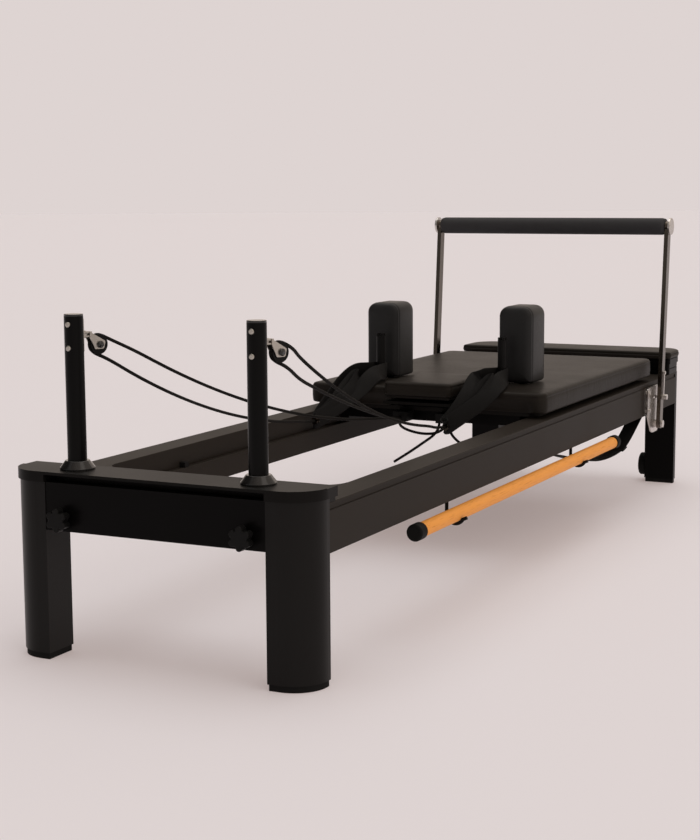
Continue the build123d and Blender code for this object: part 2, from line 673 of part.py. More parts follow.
def headrest_shelf():
    """Plate that the headrest comes down on, carried on two ribs over the carriage board."""
    x = HEADREST_WIDTH / 2
    z0, z1 = SHELF_Z
    y, z = hinge_axis()
    body = block(-x, x, HEADREST_Y, y + HINGE_R, z0, z1)
    for x0 in (-60, 40):
        body += block(x0, x0 + 20, DECK_FRONT + BOARD_INSET + 10, HEADREST_BACK - 20, DECK_BOTTOM, z0)
    for side in SIDES.values():
        body += block(side * 30, side * 62, y - HINGE_R, y + HINGE_R, z1, z) + rod_x(side * 30, side * 62, y, z, HINGE_R)
        body -= rod_x(side * 25, side * 70, y, z, HINGE_PIN_R)
    return body


def headrest_board():
    """Board under the headrest pad, with the two hinge knuckles and their pins."""
    x = HEADREST_WIDTH / 2 - 4
    z1 = HEADREST_BOTTOM
    y, z = hinge_axis()
    body = block(-x, x, HEADREST_Y + 6, HEADREST_BACK - 4, z1 - HEADREST_BOARD, z1)
    for side in SIDES.values():
        knuckle = rod_x(side * 62.5, side * 74, y, z, HINGE_R)
        knuckle += block(side * 62.5, side * 74, y - HINGE_R, y + HINGE_R, z, z1 - HEADREST_BOARD)
        body += knuckle + rod_x(side * 30, side * 74, y, z, HINGE_PIN_R - BORE_FIT)
    return body


def headrest_pad():
    x = HEADREST_WIDTH / 2
    face = outline([(-x, HEADREST_Y), (x, HEADREST_Y), (x, HEADREST_BACK), (-x, HEADREST_BACK)],
                   [((-x, HEADREST_Y), 14), ((x, HEADREST_Y), 14)])
    body = slab(face, HEADREST_BOTTOM, HEADREST_TOP)
    top_back = body.faces().sort_by(Axis.Y)[-1].edges().sort_by(Axis.Z)[-1]
    return fillet(top_back, 14)


def shoulder_rest(side):
    """Upright block pad with the steel stem that slides into the deck."""
    width, depth, height = REST_SIZE
    x = side * REST_X
    pad = block(x - width / 2, x + width / 2, REST_Y - depth / 2, REST_Y + depth / 2, REST_BOTTOM, REST_BOTTOM + height)
    pad = fillet(pad.edges().filter_by(Axis.Y).sort_by(Axis.Z)[-2:], 26)
    pad = fillet(pad.edges().filter_by(Axis.Z), 9)
    return pad + rod_z(x, REST_Y, BOARD_BOTTOM + 3, REST_BOTTOM + 1, REST_STEM_R)


def strap_pegs():
    pegs = []
    for side in SIDES.values():
        x = side * PEG_X
        y = DECK_FRONT + PEG_Y
        peg = rod_z(x, y, DECK_TOP, PEG_TOP - 8, PEG_R)
        for k in range(4):
            a = math.radians(45 + 90 * k)
            peg += rod_z(x + 9 * math.cos(a), y + 9 * math.sin(a), PEG_TOP - 9, PEG_TOP, 3.5)
        pegs.append(peg)
    return Compound(children=pegs)


def rope_cleats():
    """Two blocks under the front of the deck: a bore from the front for the left rope, three from below for
    the end of the right rope and the two loose tails."""
    y0 = DECK_FRONT - 12
    y1 = DECK_FRONT + 35
    z0 = CHASSIS_BOTTOM + 16
    bore = ROPE_D / 2 + ROPE_BORE_FIT
    left, right = [block(s * CLEAT_X - 20, s * CLEAT_X + 20, y0, y1, z0, BOARD_BOTTOM) for s in (-1, 1)]
    left -= rod_y(-CLEAT_X, y0 - 1, y1 + 1, 338, bore)
    for x, y, _ in (BAND[-1], ROPE_TAILS["rope_tail_left"][0], ROPE_TAILS["rope_tail_right"][0]):
        right -= rod_z(x, HEAD_Y + y, z0 - 1, 343, bore)
    return Compound(children=[left, right])


# ------------------------------------------------------------------ springs

def spring_back():
    return FOOT_Y - SPRING_BAR_FROM_FOOT


def spring_front():
    return spring_back() - SPRING_LENGTH


def springs():
    tubes = []
    for x in SPRING_X:
        tube = rod_y(x, spring_front(), spring_back(), SPRING_Z, SPRING_R)
        tubes.append(tube - rod_y(x, spring_front() - 1, spring_back() + 1, SPRING_Z, SPRING_R - SPRING_WALL))
    return Compound(children=tubes)


def spring_bar():
    """Bar across the foot end that the springs hook on."""
    y = spring_back()
    return block(-TRACK_INNER, TRACK_INNER, y, y + 8, SPRING_Z - 18, SPRING_Z + 18)


# ------------------------------------------------------------------ pole, sling, transport wheels

def pole():
    y0 = HEAD_Y + POLE_START
    return rod_y(POLE_X, y0 + 6, y0 + POLE_LENGTH - 6, POLE_Z, POLE_R)


def pole_caps():
    """Rubber caps over both ends of the pole."""
    y0 = HEAD_Y + POLE_START
    y1 = y0 + POLE_LENGTH
    caps = []
    for a, b, face in ((y0, y0 + POLE_CAP_LENGTH, 0), (y1 - POLE_CAP_LENGTH, y1, -1)):
        cap = rod_y(POLE_X, a, b, POLE_Z, POLE_CAP_R)
        cap = fillet(cap.faces().sort_by(Axis.Y)[face].edges(), 5)
        caps.append(cap - rod_y(POLE_X, y0 + 6, y1 - 6, POLE_Z, POLE_R))
    return Compound(children=caps)


def pole_hooks():
    """J-shaped rods under the rail, their free ends turned outwards."""
    r = POLE_R + GAP + HOOK_ROD_R
    x = POLE_X
    z = POLE_Z
    hooks = []
    for distance in HOOK_Y:
        y = HEAD_Y + distance
        shank = Line((x - r, y, RAIL_BOTTOM), (x - r, y, z))
        bend = ThreePointArc((x - r, y, z), (x - r * math.sin(math.pi / 4), y, z - r * math.cos(math.pi / 4)), (x, y, z - r))
        a = math.radians(62)
        low = (x + r * math.sin(a / 2), y, z - r * math.cos(a / 2))
        tip = (x + r * math.sin(a), y, z - r * math.cos(a))
        rise = ThreePointArc((x, y, z - r), low, tip)
        path = shank + bend + rise
        start = Plane(origin=(x - r, y, RAIL_BOTTOM), z_dir=(0, 0, -1))
        hook = sweep(start * Circle(HOOK_ROD_R), path=path)
        out = Pos(*tip) * Sphere(HOOK_ROD_R)
        flare = Line(tip, (tip[0] + 9, y, tip[2] + 4))
        out += sweep(Plane(origin=tip, z_dir=(9, 0, 4)) * Circle(HOOK_ROD_R), path=flare)
        hooks.append(hook + out)
    return Compound(children=hooks)


def under_strap():
    """Webbing foot strap slung under the rail, its two ends fixed to the rail's bottom face."""
    top = RAIL_BOTTOM
    half = SLING_THICK / 2
    path = [(1352, top - half), (1480, 231), (1640, 196), (1790, 172), (1960, 170), (2040, 184), (2130, 222),
            (2196, top - half)]
    upper = [(HEAD_Y + y, z + half) for y, z in path]
    lower = [(HEAD_Y + y, z - half) for y, z in reversed(path)]
    band = along_x(outline(upper + lower), SLING_X - SLING_WIDTH / 2, SLING_X + SLING_WIDTH / 2)
    return band


def transport_place():
    return LEG_INNER - 3 - TRANSPORT_WIDTH / 2, FOOT_Y - TRANSPORT_FROM_FOOT


def transport_wheel(side):
    x, y = transport_place()
    x *= side
    half = TRANSPORT_WIDTH / 2
    wheel = rod_x(x - half, x + half, y, TRANSPORT_Z, TRANSPORT_R)
    wheel = fillet(wheel.edges().filter_by(GeomType.CIRCLE), 4)
    return wheel - rod_x(x - half - 1, x + half + 1, y, TRANSPORT_Z, TRANSPORT_AXLE_R + BORE_FIT)


def transport_axles():
    """Shoulder bolts through the foot legs."""
    x, y = transport_place()
    half = TRANSPORT_WIDTH / 2
    bolts = []
    for side in SIDES.values():
        bolt = rod_x(side * LEG_INNER, side * (x - half - 3), y, TRANSPORT_Z, TRANSPORT_AXLE_R)
        bolt += rod_x(side * LEG_INNER, side * (x + half + GAP), y, TRANSPORT_Z, 9)
        bolt += rod_x(side * (x - half - GAP), side * (x - half - 4), y, TRANSPORT_Z, 9)
        bolts.append(bolt)
    return Compound(children=bolts)


# ------------------------------------------------------------------ loops and ropes

# Each webbing loop: the X, distance behind the head leg plane and Z of its tip and of the point where
# it turns down over the edge of the deck.
LOOPS = {
    "left": {"tip": (-240.0, 1140.0, 336.0), "turn": (-212.0, 1262.0, 437.0)},
    "right": {"tip": (HEADREST_WIDTH / 2 + 7, 1196.0, 332.0), "turn": (HEADREST_WIDTH / 2 + 47, 1262.0, 440.0)},
}
PEG_WRAP_Z = 442.0
LOOP_TIP_WALL = 6.0
EYELET_R = 7.0
EYELET_FLANGE_R = 10.0
EYELET_FLANGE = 1.2
EYELET_BORE_R = 4.3


def on_frame(point):
    """A point given by its distance behind the head leg plane, in the machine's own frame."""
    return Vector(point[0], HEAD_Y + point[1], point[2])


def loop_heading(name):
    """Horizontal direction from the peg to the tip of the loop, and the distance between them."""
    peg = Vector(SIDES[name] * PEG_X, DECK_FRONT + PEG_Y, 0)
    tip = on_frame(LOOPS[name]["tip"])
    flat = Vector(tip.X - peg.X, tip.Y - peg.Y, 0)
    return flat.normalized(), flat.length


def eyelet_plane(name):
    """Plane on the outer face of the loop's tip, looking back along the rope."""
    heading, _ = loop_heading(name)
    return Plane(origin=on_frame(LOOPS[name]["tip"]), x_dir=heading.cross(Vector(0, 0, 1)), z_dir=heading)


def strap_loop(name):
    """Band that goes round the peg and hangs down in front of the deck, with an eyelet in its tip."""
    side = SIDES[name]
    peg = Vector(side * PEG_X, DECK_FRONT + PEG_Y, PEG_WRAP_Z)
    turn = on_frame(LOOPS[name]["turn"])
    tip = on_frame(LOOPS[name]["tip"])
    heading, length = loop_heading(name)
    bend = Vector(turn.X - peg.X, turn.Y - peg.Y, 0).length
    h = STRAP_WIDTH / 2
    low = [(0, peg.Z - h), (bend, turn.Z - h), (length, tip.Z - h)]
    high = [(length, tip.Z + h), (bend + 16, turn.Z + h), (0, peg.Z + h)]
    plane = Plane(origin=(peg.X, peg.Y, 0), x_dir=heading, z_dir=heading.cross(Vector(0, 0, 1)))
    inner = PEG_R + 2
    outer = inner + STRAP_THICK
    wall = extrude(plane.offset(-outer) * outline(low + high), amount=2 * outer)
    cut = length - LOOP_TIP_WALL
    space = extrude(plane.offset(-inner) * outline([(-40, 0), (cut, 0), (cut, 900), (-40, 900)]),
                    amount=2 * inner)
    ring = rod_z(peg.X, peg.Y, peg.Z - h, peg.Z + h, outer) - rod_z(peg.X, peg.Y, peg.Z - h - 1, peg.Z + h + 1, inner)
    front = extrude(plane.offset(-outer - 1) * outline([(0, 0), (outer + 2, 0), (outer + 2, 900), (0, 900)]),
                    amount=2 * outer + 2)
    hole = extrude(eyelet_plane(name).offset(-LOOP_TIP_WALL - 1) * Circle(EYELET_R), amount=LOOP_TIP_WALL + 2)
    return (wall - space) + (ring - front) - hole


def loop_eyelets():
    """Flanged rings that line the holes in the loops."""
    rings = []
    for name in SIDES:
        plane = eyelet_plane(name)
        ring = extrude(plane.offset(-LOOP_TIP_WALL) * Circle(EYELET_R), amount=LOOP_TIP_WALL)
        ring += extrude(plane * Circle(EYELET_FLANGE_R), amount=EYELET_FLANGE)
        inside = plane.offset(-LOOP_TIP_WALL - EYELET_FLANGE)
        ring += extrude(inside * Circle(EYELET_FLANGE_R), amount=EYELET_FLANGE)
        rings.append(ring - extrude(inside.offset(-1) * Circle(EYELET_BORE_R), amount=LOOP_TIP_WALL + 5))
    return Compound(children=rings)


def hanging(start, end, sag, runs):
    """Points of a slack span between two points, both included."""
    points = []
    for k in range(runs + 1):
        t = k / runs
        x, y, z = [a + (b - a) * t for a, b in zip(start, end)]
        points.append((x, y, z - 4 * sag * t * (1 - t)))
    return points


def wheel_corners(side, first, last):
    """Corners of the route round the pulley, which the rope reaches and leaves at these angles, in degrees."""
    turn = (last - first) / 3
    reach = ROPE_TRACK_R / math.cos(math.radians(turn / 2))
    flat = []
    for k in range(3):
        a = math.radians(first + (k + 0.5) * turn - 90)
        flat.append((PULLEY_OUT + reach * math.cos(a), SWIVEL_Z - PULLEY_DROP + reach * math.sin(a)))
    for end, angle, way in ((0, first, -1), (-1, last, 1)):
        out, z = flat[end]
        a = math.radians(angle)
        lead = (out + way * WHEEL_LEAD * math.cos(a), z + way * WHEEL_LEAD * math.sin(a))
        flat = [lead] + flat if end == 0 else flat + [lead]
    yaw = math.radians(SWIVEL_YAW)
    x = side * POST_X
    y = POST_Y + SWIVEL_BACK
    return [(x + math.sin(yaw) * out, y + math.cos(yaw) * out, z) for out, z in flat]


def knot(name, behind):
    """Stopper knot on the rope's end, inside the loop."""
    plane = eyelet_plane(name).offset(-LOOP_TIP_WALL - behind)
    return plane.origin, Pos(*plane.origin) * Sphere(KNOT_R)


KNOT_R = 8.0
KNOT_BEHIND = 10.0
WHEEL_LEAD = 42.0            # straight length of rope that leaves the wheel


def eyelet_route(name, lead):
    """Last two points of a rope that ends in a loop: in line with the eyelet, and in the knot."""
    plane = eyelet_plane(name)
    start = plane.offset(lead).origin
    end = plane.offset(-LOOP_TIP_WALL - KNOT_BEHIND).origin
    return [(p.X, p.Y - HEAD_Y, p.Z) for p in (start, end)]


def route_left():
    """From the left cleat up to the pulley and back to the left loop."""
    upper = [(-60, 1308, 338), (-60, 1262, 338)] + hanging((-63, 1190, 346), (-185, 236, 600), 48, 10)
    lower = hanging((-192, 236, 552), (-238, 1060, 344), 30, 9)
    return upper + wheel_corners(-1, 155, 338) + lower + eyelet_route("left", 34)


def route_right():
    """From the right loop up to the pulley, back across the machine and round to the right cleat."""
    upper = list(reversed(eyelet_route("right", 30))) + hanging((94, 1110, 345), (196, 236, 602), 34, 9)
    lower = hanging((196, 236, 558), (-2, 1140, 350), 10, 9)
    return upper + wheel_corners(1, 155, 338) + lower + BAND


# The slack end of the right rope, under the front of the deck and up into its cleat.
BAND = [(-28, 1204, 341), (-46, 1236, 329), (-50, 1266, 312), (-28, 1288, 299), (4, 1293, 295), (36, 1296, 299),
        (59, 1300, 317), (59, 1300, 342)]

ROPE_TAILS = {
    "rope_tail_left": [(47, 1284, 340), (47, 1284, 318), (36, 1276, 297), (12, 1268, 279), (-17, 1264, 258),
                       (-46, 1266, 239), (-75, 1270, 221)],
    "rope_tail_right": [(73, 1284, 340), (73, 1284, 318), (84, 1276, 299), (106, 1268, 284), (133, 1266, 270),
                        (158, 1270, 251), (172, 1278, 225)],
}


def cord(points, name):
    """Tube along straight runs joined by arcs as large as the runs allow."""
    path_points = [on_frame(p) for p in points]
    radii = []
    turns = []
    for a, b, c in zip(path_points, path_points[1:], path_points[2:]):
        first = b - a
        second = c - b
        turn = math.radians(first.get_angle(second))
        widest = 0.45 * min(first.length, second.length) / math.tan(turn / 2)
        on_wheel = math.degrees(turn) > 59 and widest < ROPE_TRACK_R
        radii.append(ROPE_TRACK_R - 0.05 if on_wheel else widest)
        turns.append(math.degrees(turn))
    path = FilletPolyline(*path_points, radius=radii)
    start = Plane(origin=path @ 0, z_dir=path % 0)
    tube = sweep(start * Circle(ROPE_D / 2), path=path)
    lengths = [(b - a).length for a, b in zip(path_points, path_points[1:])]
    print(name, "length", round(path.length), "section x length", round(math.pi * ROPE_D ** 2 / 4 * path.length),
          "volume", round(tube.volume))
    print("  radii", [round(r, 1) for r in radii])
    print("  turns", [round(a, 1) for a in turns])
    print("  runs", [round(a, 1) for a in lengths])
    return tube


def ropes():
    made = {}
    made["rope_left"] = cord(route_left(), "rope_left") + knot("left", KNOT_BEHIND)[1]
    made["rope_right"] = cord(route_right(), "rope_right") + knot("right", KNOT_BEHIND)[1]
    for name, points in ROPE_TAILS.items():
        made[name] = cord(points, name)
    return made


def main():
    pieces = {}
    for name, side in SIDES.items():
        pieces["rail_" + name] = rail(side)
        pieces["post_" + name] = post(side)
        pieces["post_plug_" + name] = post_plug(side)
        pieces["post_knob_" + name] = post_knob(side)
        pieces["pulley_mount_" + name] = pulley_mount(side)
        pieces["pulley_block_" + name] = pulley_block(side)
        pieces["pulley_wheel_" + name] = pulley_wheel(side)
        pieces["footbar_bracket_" + name] = footbar_bracket(side)
        pieces["footbar_lock_" + name] = footbar_lock(side)
        pieces["shoulder_rest_" + name] = shoulder_rest(side)
        pieces["strap_loop_" + name] = strap_loop(name)
        pieces["transport_wheel_" + name] = transport_wheel(side)
    for end_name, end in ENDS.items():
        pieces["legs_" + end_name] = Compound(children=[leg(side, end) for side in SIDES.values()])
    pieces["leg_pads"] = leg_pads()
    pieces["head_beam"] = head_beam()
    pieces["foot_beam"] = beam(1, RAIL_TOP)
    pieces["head_cap"] = head_cap()
    pieces["head_cross_plate"] = head_cross_plate()
    pieces["post_collars"] = post_collars()
    pieces["platform_board"] = platform_board()
    pieces["platform_pad"] = platform_pad()
    pieces["footbar_frame"] = footbar_frame()
    pieces["footbar_grip"] = footbar_grip()
    pieces["footbar_end_caps"] = footbar_end_caps()
    pieces["carriage_frame"] = carriage_frame()
    pieces["carriage_board"] = carriage_board()
    pieces["carriage_pad"] = carriage_pad()
    front, rear = wheel_places()
    pieces["carriage_wheels_front"] = carriage_wheels(front)
    pieces["carriage_wheels_rear"] = carriage_wheels(rear)
    pieces["carriage_stops"] = carriage_stops()
    pieces["headrest_shelf"] = headrest_shelf()
    pieces["headrest_board"] = headrest_board()
    pieces["headrest_pad"] = headrest_pad()
    pieces["strap_pegs"] = strap_pegs()
    pieces["rope_cleats"] = rope_cleats()
    pieces["springs"] = springs()
    pieces["spring_bar"] = spring_bar()
    pieces["pole"] = pole()
    pieces["pole_caps"] = pole_caps()
    pieces["pole_hooks"] = pole_hooks()
    pieces["under_strap"] = under_strap()
    pieces["transport_axles"] = transport_axles()
    pieces["loop_eyelets"] = loop_eyelets()
    pieces.update(ropes())
    os.makedirs("parts", exist_ok=True)
    for name, solid in pieces.items():
        export_step(solid, "parts/" + name + ".step")
    print(len(pieces), "pieces")


main()
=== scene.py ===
import math
import bmesh
import bpy
from mathutils import Matrix, Vector


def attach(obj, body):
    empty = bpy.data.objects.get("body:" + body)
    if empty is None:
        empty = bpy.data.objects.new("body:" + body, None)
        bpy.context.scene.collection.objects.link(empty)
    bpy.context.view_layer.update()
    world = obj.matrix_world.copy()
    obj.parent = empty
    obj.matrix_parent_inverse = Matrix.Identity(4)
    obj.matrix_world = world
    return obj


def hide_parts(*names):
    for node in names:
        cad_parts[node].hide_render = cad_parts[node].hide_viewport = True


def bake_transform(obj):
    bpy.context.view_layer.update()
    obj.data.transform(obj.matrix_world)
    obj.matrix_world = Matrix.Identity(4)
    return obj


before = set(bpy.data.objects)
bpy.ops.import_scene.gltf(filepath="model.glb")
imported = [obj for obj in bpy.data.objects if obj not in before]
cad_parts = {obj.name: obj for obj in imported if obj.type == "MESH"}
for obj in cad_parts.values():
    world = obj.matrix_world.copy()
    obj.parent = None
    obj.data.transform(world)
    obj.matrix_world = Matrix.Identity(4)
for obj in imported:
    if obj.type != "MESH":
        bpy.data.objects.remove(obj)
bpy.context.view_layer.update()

HEAD_Y = -1.2605              # front plane of the head legs
SIDES = (("left", -1), ("right", 1))


# ------------------------------------------------------------------ camera, floor and lights

def camera():
    """Low three-quarter view from the head end, on the pole side."""
    yaw, pitch, roll = [math.radians(a) for a in (26.21, 7.94, -0.33)]
    ahead = Vector((-math.sin(yaw) * math.cos(pitch), math.cos(yaw) * math.cos(pitch), -math.sin(pitch)))
    right = Vector((math.cos(yaw), math.sin(yaw), 0))
    up = right.cross(ahead)
    across = right * math.cos(roll) + up * math.sin(roll)
    upright = up * math.cos(roll) - right * math.sin(roll)
    turn = Matrix((across, upright, -ahead)).transposed().to_4x4()
    data = bpy.data.cameras.new("camera")
    data.sensor_fit = "HORIZONTAL"
    data.sensor_width = 36.0
    data.lens = 86.35
    data.clip_end = 60
    made = bpy.data.objects.new("camera", data)
    made.matrix_world = Matrix.Translation((1.7274, HEAD_Y - 2.6509, 0.9326)) @ turn
    bpy.context.scene.collection.objects.link(made)
    bpy.context.scene.camera = made


def sun(name, toward, strength, spread, colour=(1, 1, 1)):
    """Even light from one side of the sky: toward points at the light, spread is its width in degrees."""
    data = bpy.data.lights.new(name, "SUN")
    data.energy = strength
    data.angle = math.radians(spread)
    data.color = colour
    made = bpy.data.objects.new(name, data)
    aim = Vector(toward).to_track_quat("Z", "Y")
    made.matrix_world = aim.to_matrix().to_4x4()
    bpy.context.scene.collection.objects.link(made)


BACKDROP = (0.730, 0.658, 0.645)
FLOOR_TONE = (0.505, 0.537, 0.585)
FLOOR_GLOW = (0.300, 0.239, 0.225)


def studio():
    """A plain pale room: warm and bright above and beyond the pole side, dim on the head side."""
    world = bpy.data.worlds.new("studio")
    world.use_nodes = True
    n = Nodes(world.node_tree)
    ahead = n.node("ShaderNodeTexCoord", out=0)
    lit = n.node("ShaderNodeVectorMath", {"operation": "DOT_PRODUCT"},
                 {0: ahead, 1: (0.84, -0.06, 0.54)}, out=1)
    amount = n.node("ShaderNodeMapRange", {"clamp": True, "interpolation_type": "SMOOTHSTEP"},
                    {0: lit, 1: -0.30, 2: 0.98, 3: 0.05, 4: 0.62})
    beyond = n.node("ShaderNodeVectorMath", {"operation": "DOT_PRODUCT"},
                    {0: ahead, 1: (-0.30, 0.93, 0.21)}, out=1)
    wall = n.node("ShaderNodeMapRange", {"clamp": True, "interpolation_type": "SMOOTHSTEP"},
                  {0: beyond, 1: 0.62, 2: 0.96, 3: 0.0, 4: 0.60})
    glow = n.node("ShaderNodeMix", {"data_type": "RGBA"},
                  {0: amount + wall, 6: (0.0, 0.0, 0.0), 7: (1.0, 0.86, 0.76)}, out=2)
    seen = n.node("ShaderNodeLightPath", out=0)
    shown = n.node("ShaderNodeMix", {"data_type": "RGBA"}, {0: seen, 6: glow, 7: BACKDROP}, out=2)
    n.feed(world.node_tree.nodes["Background"].inputs["Color"], shown)
    bpy.context.scene.world = world
    bpy.context.scene.view_settings.view_transform = "Standard"
    sun("key light", (0.75, -0.15, 0.62), 0.34, 50, (1.0, 0.93, 0.86))
    sun("top light", (-0.10, 0.20, 1.0), 1.10, 60, (1.0, 0.97, 0.94))
    sun("fill light", (-0.45, -0.80, 0.45), 0.14, 60)


# ------------------------------------------------------------------ shader expressions

class Val:
    """A socket that can be used in sums and products."""

    def __init__(self, sheet, socket):
        self.sheet = sheet
        self.socket = socket

    def math(self, operation, *others, flip=False):
        parts = [self] + list(others)
        if flip:
            parts.reverse()
        return self.sheet.node("ShaderNodeMath", {"operation": operation}, dict(enumerate(parts)))

    def __add__(self, other):
        return self.math("ADD", other)

    def __radd__(self, other):
        return self.math("ADD", other)

    def __sub__(self, other):
        return self.math("SUBTRACT", other)

    def __rsub__(self, other):
        return self.math("SUBTRACT", other, flip=True)

    def __mul__(self, other):
        return self.math("MULTIPLY", other)

    def __rmul__(self, other):
        return self.math("MULTIPLY", other)


class Nodes:
    """A node tree and the expressions that feed it."""

    def __init__(self, tree):
        self.tree = tree

    def node(self, kind, settings=None, values=None, out=0):
        made = self.tree.nodes.new(kind)
        for key, value in (settings or {}).items():
            setattr(made, key, value)
        for key, value in (values or {}).items():
            self.feed(made.inputs[key], value)
        return Val(self, made.outputs[out])

    def feed(self, socket, value):
        if isinstance(value, Val):
            self.tree.links.new(value.socket, socket)
        elif hasattr(value, "__len__") and len(value) == 3 and len(socket.default_value) == 4:
            socket.default_value = (*value, 1)
        else:
            socket.default_value = value


class Finish(Nodes):
    """One material, with the patterns that its finish is made from."""

    def __init__(self, name):
        self.material = bpy.data.materials.new(name)
        self.material.use_nodes = True
        super().__init__(self.material.node_tree)
        self.shader = self.tree.nodes["Principled BSDF"]

    def place(self):
        return self.node("ShaderNodeTexCoord", out=3)

    def flat(self, part):
        """One coordinate of the piece's own unrolled surface."""
        unrolled = self.node("ShaderNodeTexCoord", out=2)
        return self.node("ShaderNodeSeparateXYZ", values={0: unrolled}, out=part)

    def noise(self, scale, detail=3.0, rough=0.5, stretch=(1, 1, 1)):
        where = self.node("ShaderNodeMapping", values={"Vector": self.place(), "Scale": stretch})
        return self.node("ShaderNodeTexNoise", values={"Vector": where, "Scale": scale, "Detail": detail,
                                                       "Roughness": rough})

    def cells(self, scale, stretch=(1, 1, 1)):
        where = self.node("ShaderNodeMapping", values={"Vector": self.place(), "Scale": stretch})
        return self.node("ShaderNodeTexVoronoi", {"feature": "F1"}, {"Vector": where, "Scale": scale})

    def tint(self, mask, low, high):
        return self.node("ShaderNodeMix", {"data_type": "RGBA"}, {0: mask, 6: low, 7: high}, out=2)

    def bump(self, height, strength, distance, onto=None):
        values = {"Height": height, "Strength": strength, "Distance": distance}
        if onto is not None:
            values["Normal"] = onto
        return self.node("ShaderNodeBump", values=values)

    def set(self, **inputs):
        for key, value in inputs.items():
            self.feed(self.shader.inputs[key.replace("_", " ")], value)
        return self.material


def powder_coat(name, dark, light, rough=0.42, gloss=0.13):
    """Fine-textured satin paint, a little lighter where it is rubbed."""
    f = Finish(name)
    cloud = f.noise(3.2, 4, 0.55)
    grain = f.noise(900, 2, 0.6)
    colour = f.tint(cloud, dark, light)
    return f.set(Base_Color=colour, Roughness=cloud * 0.12 + grain * 0.1 + (rough - 0.11),
                 Normal=f.bump(grain, 0.16, 0.0002), Specular_IOR_Level=gloss)


def vinyl(name, dark, light, rough=0.38, gloss=0.1):
    """Grained upholstery vinyl with a soft sheen and faint creases."""
    f = Finish(name)
    pebble = f.cells(520)
    fine = f.noise(1100, 2, 0.5)
    sag = f.noise(9, 3, 0.55)
    crease = f.noise(30, 4, 0.62, (1, 2.2, 1))
    colour = f.tint(sag, dark, light)
    deep = f.bump(sag * 0.8 + crease * 0.35, 0.32, 0.004)
    skin = f.bump(pebble * 0.8 + fine * 0.2, 0.22, 0.0003, deep)
    return f.set(Base_Color=colour, Roughness=pebble * 0.12 + sag * 0.12 + (rough - 0.1), Normal=skin,
                 Specular_IOR_Level=gloss)


def brushed(name, dark, light, rough=0.3, along=(1, 1, 0.02)):
    """Drawn or brushed metal with the marks running along the piece."""
    f = Finish(name)
    lines = f.noise(700, 3, 0.6, along)
    smear = f.noise(14, 3, 0.5)
    colour = f.tint(smear * 0.6 + lines * 0.4, dark, light)
    return f.set(Base_Color=colour, Metallic=1.0, Roughness=lines * 0.16 + smear * 0.12 + (rough - 0.12),
                 Normal=f.bump(lines, 0.12, 0.0002))


def moulded(name, dark, light, rough=0.45, coat=0.0):
    """Moulded plastic or rubber with a fine spark-eroded grain."""
    f = Finish(name)
    grain = f.noise(800, 2, 0.6)
    cloud = f.noise(25, 3, 0.5)
    return f.set(Base_Color=f.tint(cloud, dark, light), Roughness=grain * 0.14 + cloud * 0.1 + (rough - 0.12),
                 Normal=f.bump(grain, 0.14, 0.0002), Specular_IOR_Level=0.09,
                 Coat_Weight=coat, Coat_Roughness=0.12)


def foam(name):
    """Closed-cell grip foam: matte, with small open pores."""
    f = Finish(name)
    pores = f.cells(620)
    soft = f.noise(40, 3, 0.5)
    colour = f.tint(soft, (0.016, 0.016, 0.018), (0.034, 0.034, 0.037))
    skin = f.bump(pores, 0.35, 0.0004, f.bump(soft, 0.2, 0.002))
    return f.set(Base_Color=colour, Roughness=soft * 0.15 + 0.68, Normal=skin)


def timber(name, pale, dark, streak, rough):
    """Straight-grained wood with short flecks, the grain running along Y."""
    f = Finish(name)
    ring = f.noise(38, 5, 0.6, (1, 0.06, 1))
    fleck = f.noise(420, 3, 0.7, (1, 0.05, 1))
    patch = f.noise(4, 2, 0.5)
    dash = f.node("ShaderNodeMapRange", {"clamp": True}, {0: fleck, 1: 0.56, 2: 0.68, 3: 0.0, 4: 1.0})
    base = f.tint(ring * 0.7 + patch * 0.3, pale, dark)
    colour = f.tint(dash * 0.55, base, streak)
    return f.set(Base_Color=colour, Roughness=fleck * 0.14 + (rough - 0.05), Specular_IOR_Level=0.12,
                 Normal=f.bump(fleck * 0.6 + ring * 0.4, 0.1, 0.0003))


def weave(name, dark, light, across, along, rough=0.72):
    """Webbing: warp ribs across the band and picks along it, from the piece's unrolled surface in metres."""
    f = Finish(name)
    ribs = (f.flat(0) * across).math("SINE")
    picks = (f.flat(1) * along + ribs * 1.2).math("SINE")
    cloth = ribs * 0.25 + picks * 0.25 + 0.5
    fuzz = f.noise(1300, 2, 0.6)
    colour = f.tint(cloth * 0.7 + fuzz * 0.3, dark, light)
    skin = f.bump(cloth, 0.55, 0.0005, f.bump(fuzz, 0.25, 0.0003))
    return f.set(Base_Color=colour, Roughness=cloth * 0.1 + (rough - 0.05), Normal=skin,
                 Specular_IOR_Level=0.12)


def braid(name, dark, light):
    """Round braided rope: two sets of strands that cross, from the piece's unrolled surface in metres."""
    f = Finish(name)
    around = f.flat(0) * (2 * math.pi * 6)
    along = f.flat(1) * 620.0
    one = (around + along).math("SINE")
    two = (around - along).math("SINE")
    over = (one * two) * 0.5 + 0.5
    fuzz = f.noise(1500, 2, 0.6)
    colour = f.tint(over * 0.75 + fuzz * 0.25, dark, light)
    skin = f.bump(over, 0.8, 0.0006, f.bump(fuzz, 0.3, 0.0003))
    return f.set(Base_Color=colour, Roughness=fuzz * 0.12 + 0.66, Normal=skin, Specular_IOR_Level=0.1)


